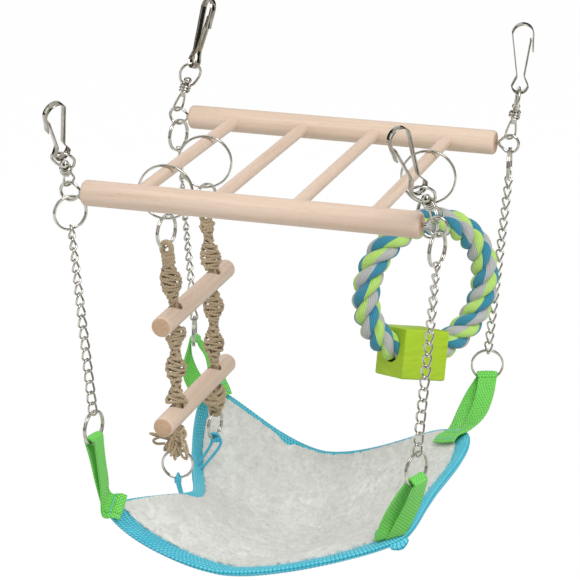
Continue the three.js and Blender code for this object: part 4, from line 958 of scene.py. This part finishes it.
def sheet_mesh(name, material, low, high, cells, margins, pile=False):
    """One closed layer of the cloth."""
    left, right, front, rear, tied = margins
    u1 = 1 - right / CLOTH_HX
    v0, v1 = front / CLOTH_HY - 1, 1 - rear / CLOTH_HY
    shape, n = Shape(), cells + 1

    def spot(i, j):
        bare, near = 0, v0
        if pile:
            bare = TWIST_BARE * exp(-((2 * i / cells - 1 - TWIST_AT) / TWIST_LENGTH) ** 2)
            near = v0 - FRONT_OVERLAP / CLOTH_HY * eased(0.9 - 3.6 * i / cells)
        v = near + (v1 - bare / CLOTH_HY - near) * j / cells
        u0 = (left + (tied - left) * eased((v + 0.5) * 5)) / CLOTH_HX - 1
        return u0 + (u1 - u0) * i / cells, v

    for height in (low, high):
        for j in range(n):
            for i in range(n):
                u, v = spot(i, j)
                p = cloth(u, v, height)
                if pile:
                    rim = min(1, min(i, cells - i, j, cells - j) * RIM_PARTS / cells)
                    wander = sum(size * noise(p * fine) for size, fine in RAGGED)
                    p = p + (p - cloth(0, 0, height)).normalized() * ((1 - rim) * wander)
                if pile and height == high:
                    p = tufted(p, cloth(u, v, low), rim)
                shape.verts.append(p)

    def quad(*corners):
        corners = [k * n * n + j * n + i for k, i, j in corners]
        shape.face(corners, [shape.verts[c].xy for c in corners])

    for j in range(cells):
        for i in range(cells):
            quad((1, i, j), (1, i + 1, j), (1, i + 1, j + 1), (1, i, j + 1))
            quad((0, i, j), (0, i, j + 1), (0, i + 1, j + 1), (0, i + 1, j))
        quad((0, j, 0), (0, j + 1, 0), (1, j + 1, 0), (1, j, 0))
        quad((0, j + 1, cells), (0, j, cells), (1, j, cells), (1, j + 1, cells))
        quad((0, 0, j + 1), (0, 0, j), (1, 0, j), (1, 0, j + 1))
        quad((0, cells, j), (0, cells, j + 1), (1, cells, j + 1), (1, cells, j))
    return shape.piece(name, material, smooth=80)


plush = sheet_mesh("hammock_plush_fleece", FLEECE, CLEAR / 2, CLEAR / 2 + PLUSH_THICK - PILE_GIVE,
                   PLUSH_CELLS, PLUSH_MARGINS, True)
settle(plush, "hammock", "plush", "hammock_plush")
backing = sheet_mesh("hammock_backing_cloth", LINING, -CLEAR / 2 - BACKING_THICK, -CLEAR / 2,
                     BACKING_CELLS, BACKING_MARGINS)
settle(backing, "hammock", "backing", "hammock_backing")


def rim_points(cells):
    side = [2 * i / cells - 1 for i in range(cells)]
    return [(t, -1) for t in side] + [(1, t) for t in side] + [(-t, 1) for t in side] + [(-1, -t) for t in side]


def bound_edge():
    """Ribbed tape folded over the cloth's rim, four rows to a rib."""
    iu, iv = inset(TAPE_WIDTH)
    squared = lambda c, power: copysign(abs(c) ** power, c)
    rows = []
    for k, (u, v) in enumerate(rim_points(4 * TAPE_RIBS)):
        out, inner = cloth(u, v), cloth(u * iu, v * iv)
        normal = (cloth(u, v, 1) - out).normalized()
        middle, half = (out + inner) / 2, (out - inner) / 2
        wave = 0.35 * noise(out * 0.06)
        rib = TAPE_RIB * sin(pi * k / 4) ** 2
        wide, thick = 1 + 0.05 * wave + rib / TAPE_WIDTH, BINDING_THICK / 2 + wave * 0.5 + rib
        rows.append([middle + half * (squared(cos(t), 0.75) * wide) + normal * (squared(sin(t), 0.7) * thick)
                     for t in circle(16)])
    return Shape().loft(rows, True, pace=RIB_PITCH / 4)


def cord_loop(shape, y, apex, turn):
    """A sewn loop of thin cord from the binding up round a tie ring, with three wraps at its neck."""
    foot = cloth(-inset(BINDING_WIDTH / 2)[0], y / CLOTH_HY)
    bend, neck = apex + (foot.z - apex) * 0.3, apex - CORD_SPREAD * 0.3
    way = level(turn)
    lie = vec(-way.y, way.x)
    at = lambda px, z, share: vec(px, y, z) + way * (share * CORD_SPREAD)
    half = [(foot.x, foot.z, 0.6), (LADDER_X, bend, 1), (LADDER_X, neck, 0.75)]
    points = [at(px, z, -share) for px, z, share in half] + [at(LADDER_X, apex, 0)]
    points += [at(px, z, share) for px, z, share in reversed(half)]
    shape.tube(smoothed(points, 6), CORD_D / 2)
    for k in range(3):
        knot = vec(LADDER_X, y, apex - CORD_SPREAD * (0.75 + 0.4 * k))
        wrap = [knot + way * (2.7 * cos(t)) + lie * (1.5 * sin(t)) + up(0.4 * sin(t + k)) for t in circle(16)]
        shape.tube(wrap, CORD_D * 0.42, 8, True)


def hem_end():
    """The tape's end, turned under and gathered at the front right corner."""
    spots = ((0.88, -0.99, -1.6), (0.93, -1.0, -2.6), (0.97, -1.0, -2.8), (1.0, -0.96, -1.4))
    line = smoothed([cloth(*spot) for spot in spots], 6)
    rows = []
    for (p, a, b), f in zip(carried(line, False), spaced(0, 1, len(line) - 1)):
        tall, thin = 1.0 + 1.8 * sin(pi * f) ** 0.6, 1.1 + 0.3 * sin(9 * f)
        rows.append([p + a * (tall * cos(t)) + b * (thin * sin(t)) for t in circle(14)])
    return Shape().loft(rows)


STITCH_SPOTS, STITCH_INSET, STITCH_R, STITCH_START, STITCH_SHARE, STITCH_ARCH = 48, 1.2, 0.3, 0.12, 0.6, 0.22


def stitches():
    """A row of stitches along the tape's inner edge, on both faces."""
    shape = Shape()
    iu, iv = inset(TAPE_WIDTH - STITCH_INSET)
    line = [(u * iu, v * iv) for u, v in rim_points(STITCH_SPOTS)]
    for side in (1, -1):
        h = side * (BINDING_THICK / 2 * 0.72 + 0.1)
        for (u0, v0), (u1, v1) in zip(line, line[1:] + line[:1]):
            at = lambda f, height: cloth(u0 + (u1 - u0) * f, v0 + (v1 - v0) * f, height)
            shape.tube([at(STITCH_START + STITCH_SHARE * g, h + side * STITCH_ARCH * sin(pi * g))
                        for g in (0, 0.3, 0.5, 0.7, 1)], STITCH_R, 6)
    return shape


LARGE_IN, TIE_IN = LARGE_RING / 2 - RING_RADIAL, TIE_RING / 2 - RING_RADIAL
LADDER_RING_Z = RUNG_D / 2 + CLEAR - LARGE_IN
LADDER_LINK_Z = LADDER_RING_Z - LARGE_IN + PLAY - SMALL_IN
ROPE_TOP = LADDER_LINK_Z - SMALL_IN + PLAY
KNOT_TOP = -LOWER_DROP - DOWEL_D / 2 - PLAY
KNOT_LOW = KNOT_TOP - KNOT_LENGTH
ROPE_END = KNOT_LOW - ROPE_CORD - RING_RADIAL - TIE_PLAY
TIE_Z = ROPE_END + ROPE_CORD + PLAY - TIE_IN
CORD_APEX = TIE_Z - TIE_IN + PLAY + CORD_D / 2

edge = bound_edge().stand_in("hammock_binding", "tape", BINDING, "binding", "hammock")
loops = Shape()
for side, ly in LADDER_Y.items():
    cord_loop(loops, ly, CORD_APEX, TIE_RING_TURN[side])
settle(loops.piece("hammock_cord_loops", CORD_BLUE), "hammock", "binding")
settle(hem_end().piece("hammock_binding_end", BINDING), "hammock", "binding")
settle(stitches().piece("hammock_stitches", THREAD), "hammock", "binding")


# Ladder: rings, knotted jute ropes, knots and tie rings
HALF_KNOT_PITCH, HALF_KNOT_R, DOWEL_GAP, MAP_SPAN = 2.0, 0.95, 0.5, 40
# Strands through a dowel, and wraps under the eye: count, radius of the bundle, radius of the strand
CORE, CORE_RADIUS, CORE_STRAND = 4, 1.55, 1.2
WRAPS, WRAP_RADIUS, WRAP_STRAND, WRAP_PITCH = 3, 2.9, 1.3, 2.3
# Bulges between rung and dowel and between the dowels, and where in a bulge each run starts
SINNET_RUNS = dict(front=((1.0, 0.0), (2.2, 0.32)), rear=((1.1, -0.3), (2.0, 0.1)))
# Strands of a sinnet: side, share of its half width, radius
SINNET_STRANDS = ((1, 0.95, 0.95), (-1, 0.95, 0.95), (1, 0.3, 1.05), (-1, 0.3, 1.05))
# Frayed loops of each knot: count, reach, radius, aim and spread
FRAYS = dict(front=((9, 12.5, 0.85, (-0.85, -0.2, -0.05), 0.4), (6, 12, 0.85, (-0.35, -0.5, -0.7), 0.35),
                    (5, 15, 0.85, (0.45, -0.5, -0.9), 0.25)),
             rear=((4, 7, 0.6, (0.2, -0.3, -0.6), 0.7),))


def oval_eye(shape, x, y, low, high, way):
    radius = ROPE_CORD * 0.95
    ends = (radius, high - ROPE_CORD / 2 - radius), (-radius, low + ROPE_CORD / 2 + radius)
    path = [vec(x, y, middle + r * sin(t)) + way * (r * cos(t)) for r, middle in ends for t in spaced(0, pi, 8)]
    shape.tube(path, ROPE_CORD / 2, 10, True)


def sinnet(shape, at, top, low, bulges, phase):
    """A flat run of half knots that slowly turns: broad where it faces front, narrow between."""
    stage = lambda z: (top - z) / (top - low) * bulges + phase
    size = lambda z: 0.3 + 0.7 * abs(sin(pi * stage(z))) ** 0.9
    half, thin = SINNET_WIDTH / 2 - 0.6, SINNET_THICK / 2 - 0.9

    def spun(z, a, b):
        turn = rad(18) + pi * (stage(z) - 0.5)
        return vec(a * cos(turn) - b * sin(turn), a * sin(turn) + b * cos(turn))

    count = round((top - low) / HALF_KNOT_PITCH)
    for k in range(count):
        z = top - (top - low) * (k + 0.5) / count
        wa, wb = half * size(z) * RNG.uniform(0.9, 1.08), thin * (0.75 + 0.25 * size(z))
        slope = (1.3 if k % 2 else -1.1) * RNG.uniform(0.6, 1.4)
        path = []
        for t in circle(24):
            rise = slope * cos(t) * (1 if sin(t) > 0 else -0.6) + 0.35 * sin(2 * t + k)
            path.append(at(z) + spun(z, wa * cos(t), wb * sin(t)) + up(rise))
        shape.tube(path, HALF_KNOT_R, 8, True, shift=RNG.uniform(0, MAP_SPAN))
    # Cords run down both edges from knot to knot, and the lazy strands down the middle
    for way, share, thick in SINNET_STRANDS:
        path = []
        for z in spaced(top, low, round((top - low) * 1.4)):
            a = way * half * share * size(z) + 0.4 * sin(2.4 * z + way)
            path.append(at(z) + spun(z, a, 0.7 * sin(1.7 * z + share)))
        shape.tube(path, thick, 8, shift=RNG.uniform(0, MAP_SPAN))


def under_dowel(line, thick):
    """Keeps a line of the knot below the dowel that rests on it."""
    return [vec(p.x, p.y, min(p.z, KNOT_TOP - thick)) for p in line]


def loose_ends(shape, middle, count, reach, thick, aim, spread):
    """Frayed loops of fibre that stand out of a knot."""
    for i in range(count):
        out = (Vector(aim) + Vector([RNG.uniform(-spread, spread) for _ in range(3)])).normalized()
        side = Matrix.Rotation(RNG.uniform(0, TAU), 3, out) @ out.orthogonal().normalized()
        base = middle + Vector([RNG.uniform(-3.2, 3.2) for _ in range(3)])
        far, wide = reach * RNG.uniform(0.75, 1.15), RNG.uniform(1.3, 2.8)
        line = [base, base + out * far * 0.5 + side * wide, base + out * far + side * wide * 0.4,
                base + out * far * 0.85 - side * wide * 0.7, base + out * far * 0.35 - side * wide]
        shape.tube(under_dowel(smoothed(line, 5), thick), thick, 7, shift=i * 11)


def knot_turns(side):
    """Turns of a knot round its middle: an untidy one in front, a round one of neat turns at the rear."""
    for i in range(8):
        if side == "front":
            spin = Matrix.Rotation(RNG.uniform(0, pi), 3, "Z") @ Matrix.Rotation(rad(RNG.uniform(-65, 65)), 3, "X")
            ra, rb, wave = RNG.uniform(3.4, 5.0), RNG.uniform(2.8, 3.8), 1.0
            thick, lift, points = 1.1, (i - 3.0) * 1.1, 20
        else:
            f = (i - 3.5) / 4
            spin = Matrix.Rotation(0.5 * sin(1.9 * i), 3, "Y") @ Matrix.Rotation(0.45 * cos(2.3 * i), 3, "X")
            ra = rb = 6.2 * sqrt(1 - f * f) + 0.4
            thick, lift, points, wave = 1.35, 6.4 * f, 22, 0.9
        yield thick, up(lift), [spin @ oval(t, ra, rb, wave * sin(2 * t)) for t in circle(points)]


def jute_rope(side, y):
    """Eye, two runs of sinnet, strands through the dowels, end knot and tie eye."""
    shape = Shape()

    def at(z):
        """The middle line leans from the ring to the dowels, then hangs straight."""
        t = min(max((z - ROPE_TOP) / (-UPPER_DROP - ROPE_TOP), 0), 1)
        return vec(RUNG_X[0] + (LADDER_X - RUNG_X[0]) * t, y, z)

    start, seat = ROPE_TOP + ROPE_CORD - ROPE_EYE, DOWEL_D / 2 + PLAY + DOWEL_GAP
    spans = ((start + 0.5, -UPPER_DROP + seat), (-UPPER_DROP - seat, -LOWER_DROP + seat))
    for (top, low), run in zip(spans, SINNET_RUNS[side]):
        sinnet(shape, at, top, low, *run)
    for drop in (UPPER_DROP, LOWER_DROP):
        for k in range(CORE):
            path = []
            for i in range(13):
                z = -drop + (seat + 2.5) * (1 - i / 6)
                path.append(at(z) + oval(TAU * (k / CORE + z / 40), CORE_RADIUS, CORE_RADIUS))
            shape.tube(path, CORE_STRAND, 8, shift=k * 17)
    oval_eye(shape, RUNG_X[0], y, start, ROPE_TOP + ROPE_CORD, level(LADDER_LINK_TURN[side]))
    oval_eye(shape, LADDER_X, y, ROPE_END, KNOT_LOW + ROPE_CORD, level(TIE_RING_TURN[side]))
    for i in range(WRAPS):
        z = start + 1.4 - WRAP_PITCH * i
        wrap = [at(z) + oval(t, WRAP_RADIUS, WRAP_RADIUS, 0.7 * sin(t + i)) for t in circle(18)]
        shape.tube(wrap, WRAP_STRAND, 9, True, shift=i * 9)
    middle = vec(LADDER_X, y, (KNOT_TOP + KNOT_LOW) / 2)
    for i, (thick, lift, turn) in enumerate(knot_turns(side)):
        shape.tube(under_dowel([middle + lift + p for p in turn], thick), thick, 9, True, shift=i * 7)
    for fray in FRAYS[side]:
        loose_ends(shape, middle, *fray)
    shape.stand_in(f"ladder_rope_{side}", "jute", JUTE, "jute", f"rope_{side}", smooth=75)


for side, ly in LADDER_Y.items():
    top_ring, link_ring = vec(RUNG_X[0], ly, LADDER_RING_Z), vec(RUNG_X[0], ly, LADDER_LINK_Z)
    split_ring(f"ladder_ring_{side}", LARGE_RING, LADDER_RING_TURN[side], top_ring)
    split_ring(f"ladder_link_ring_{side}", SMALL_RING, LADDER_LINK_TURN[side], link_ring, f"rope_{side}")
    jute_rope(side, ly)
    split_ring(f"ladder_tie_ring_{side}", TIE_RING, TIE_RING_TURN[side], vec(LADDER_X, ly, TIE_Z), f"rope_{side}")


# Rope toy: rings and three laid strands
TOY_X = RUNG_X[3]
TOY_LINK_IN = TOY_LINK_RING / 2 - RING_RADIAL
TOY_LINK_Z = LADDER_RING_Z - LARGE_IN + PLAY - TOY_LINK_IN
TOY_R = TOY_RING_D / 2
TOY_Z = TOY_LINK_Z - TOY_LINK_IN + PLAY + TOY_ROPE / 2 - TOY_R
STRANDS, STRAND_SIDES, STEPS_PER_TURN, ROPE_TO_STRAND = 3, 24, 36, 2.1
YARN_SWELL, STRAND_FUZZ, STRAND_FLAT = 0.04, 0.12, 0.92
split_ring("toy_ring", LARGE_RING, TOY_RING_TURN, vec(TOY_X, TOY_Y, LADDER_RING_Z))
split_ring("toy_link_ring", TOY_LINK_RING, TOY_TURN - 90, vec(TOY_X, TOY_Y, TOY_LINK_Z), "toy_link")


def laid_rope():
    """Three strands, each of three coloured yarns that run level with the rope on its outside."""
    thick = TOY_ROPE / 2 / ROPE_TO_STRAND
    offset = TOY_ROPE / 2 - thick
    hidden = (BLOCK / 2 - ROPE_IN_BLOCK) / TOY_R
    sweep = TAU - 2 * hidden
    turns = round(sweep * TOY_R / TOY_PITCH)
    steps = turns * STEPS_PER_TURN
    place = Matrix.Translation((TOY_X, TOY_Y, TOY_Z)) @ spin(TOY_TURN) @ spin(BLOCK_SWING, "Y")

    def centre(i, n):
        """Strand n's middle at step i, and the directions out of the rope and round it."""
        t = -pi / 2 + hidden + sweep * i / steps
        lay = TAU * (turns * i / steps + n / STRANDS)
        spoke = vec(cos(t), 0, sin(t))
        out = spoke * cos(lay) + vec(0, sin(lay), 0)
        round_way = -spoke * sin(lay) + vec(0, cos(lay), 0)
        return spoke * TOY_R + out * offset, out, round_way

    for n in range(STRANDS):
        rows = []
        for i in range(steps + 1):
            p, out, round_way = centre(i, n)
            ahead = (centre(i + 0.5, n)[0] - centre(i - 0.5, n)[0]).normalized()
            out = (out - ahead * out.dot(ahead)).normalized()
            round_way = (round_way - ahead * round_way.dot(ahead) - out * round_way.dot(out)).normalized()
            row = []
            for j in range(STRAND_SIDES):
                f = j / STRAND_SIDES
                a = TAU * f - 2 * TAU * turns * i / steps
                swell = thick * (1.0 + YARN_SWELL * abs(sin(3 * pi * f)))
                swell += STRAND_FUZZ * noise(vec(0.4 * i, 0.9 * j, 7 * n))
                row.append(p + out * (swell * cos(a)) + round_way * (STRAND_FLAT * swell * sin(a)))
            rows.append(row)
        strand = Shape().loft(rows).piece(f"rope_ring_strand_{n + 1}", ROPE_YARNS[0], place, 75)
        for colour in ROPE_YARNS[1:]:
            strand.data.materials.append(colour)
        # A third of each strand's faces for each yarn; the two end caps come last
        for k, face in enumerate(strand.data.polygons):
            face.material_index = k % STRAND_SIDES * 3 // STRAND_SIDES if k < steps * STRAND_SIDES else 0
        settle(strand, "rope_toy", "rope", "rope_ring")


laid_rope()

# Cloth facts: cut sizes before hanging
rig.sheet(plush, flat=(0.186, 0.182), held="hung", rests_on=[f"webbing_loop_{c}" for c in HANGERS],
         with_pieces=[edge])
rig.sheet(backing, flat=(0.186, 0.182), held="hung", rests_on=[f"webbing_loop_{c}" for c in HANGERS])


# Camera and light, in metres: a white surround for the camera and in mirrors, softer light on the object
WHITE, SURROUND = (1, 1, 1, 1), 0.64
AZIMUTH, ELEVATION, EYE = rad(18.03), rad(19.25), (0.4031, -1.2526, 0.3100)
LIT_SPOT = up(-0.15)


def aim(obj, place, way):
    obj.location = place
    obj.rotation_mode = "QUATERNION"
    obj.rotation_quaternion = way.to_track_quat("-Z", "Y")


cam = linked("camera", bpy.data.cameras.new("camera"))
cam.data.sensor_width, cam.data.lens = 36.0, 143.2
cam.data.clip_start, cam.data.clip_end = 0.01, 50
back = vec(sin(AZIMUTH) * cos(ELEVATION), -cos(AZIMUTH) * cos(ELEVATION), sin(ELEVATION))
aim(cam, EYE, -back)
scene.camera = cam

world = bpy.data.worlds.new("studio")
scene.world = world
world.use_nodes = True
world.node_tree.nodes.clear()
sky = Nodes(world.node_tree)
lit, white = (sky.node("ShaderNodeBackground", Color=WHITE, Strength=s).outputs[0] for s in (SURROUND, 1.0))
sky.node("ShaderNodeOutputWorld", Surface=sky.to_viewer(lit, white))


def lamp(name, place, size, power):
    data = bpy.data.lights.new(name, "AREA")
    data.shape, data.size, data.energy = "SQUARE", size, power
    aim(linked(name, data), place, LIT_SPOT - Vector(place))


lamp("key", (0.9, -0.9, 1.3), 0.9, 19)
lamp("fill", (-1.3, -0.6, 0.4), 1.2, 4)


def screen(name, verts, faces, material):
    mesh = bpy.data.meshes.new(name)
    mesh.from_pydata(verts, [], faces)
    mesh.materials.append(material)
    return linked(name, mesh)


def floor(side=6.0, low=-0.85):
    """Pale floor: white to the camera and in mirrors, but for the object's own faint shadow."""
    m = Mat("floor_pale", 0.95)
    grit = m.cloud(40, 3, 0.6)
    m.finish(m.ramp(grit, (0.3, srgb(226, 226, 225)), (0.7, srgb(232, 232, 231))))
    glow = m.node("ShaderNodeEmission", Color=WHITE, Strength=0.9).outputs[0]
    shadow = m.node("ShaderNodeBsdfDiffuse", Color=(0.14, 0.14, 0.14, 1)).outputs[0]
    shown = m.to_viewer(m.bsdf.outputs[0], m.node("ShaderNodeAddShader", glow, shadow).outputs[0])
    m.feed(m.tree.nodes["Material Output"].inputs["Surface"], shown)
    corners = [(-side, -side, low), (side, -side, low), (side, side, low), (-side, side, low)]
    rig.stage(screen("floor", corners, [(0, 1, 2, 3)], m.mat))


FLAG_LOW, FLAG_HIGH, FLAG_DISTANCE, FLAG_STEPS = -0.7, 2.4, 2.6, 6
# Directions count from straight in front of the object towards its right
FLAGS = dict(front=(-24, 34), right=(60, 108), rear=(138, 192), left=(228, 294), corner=(316, 326))


def flag(name, start, stop):
    """A dark screen round the object, which only mirror-bright wire shows, as in a photo studio."""
    verts = [(FLAG_DISTANCE * sin(t), -FLAG_DISTANCE * cos(t), z)
             for t in map(rad, spaced(start, stop, FLAG_STEPS)) for z in (FLAG_LOW, FLAG_HIGH)]
    m = Mat(name, 0.9)
    m.finish(m.ramp(m.cloud(3, 2, 0.55), (0.3, (0.02, 0.02, 0.018, 1)), (0.7, (0.035, 0.035, 0.03, 1))))
    obj = screen(name, verts, [(2 * i, 2 * i + 2, 2 * i + 3, 2 * i + 1) for i in range(FLAG_STEPS)], m.mat)
    obj.visible_camera = obj.visible_diffuse = obj.visible_shadow = obj.visible_transmission = False
    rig.stage(obj)


floor()
for place, (start, stop) in FLAGS.items():
    flag(f"flag_{place}", start, stop)

visual_box = [[float(c) for c in p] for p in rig.bounds()]
with open("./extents.json", "w") as f:
    json.dump({"cad": cad_box, "visual": visual_box}, f)
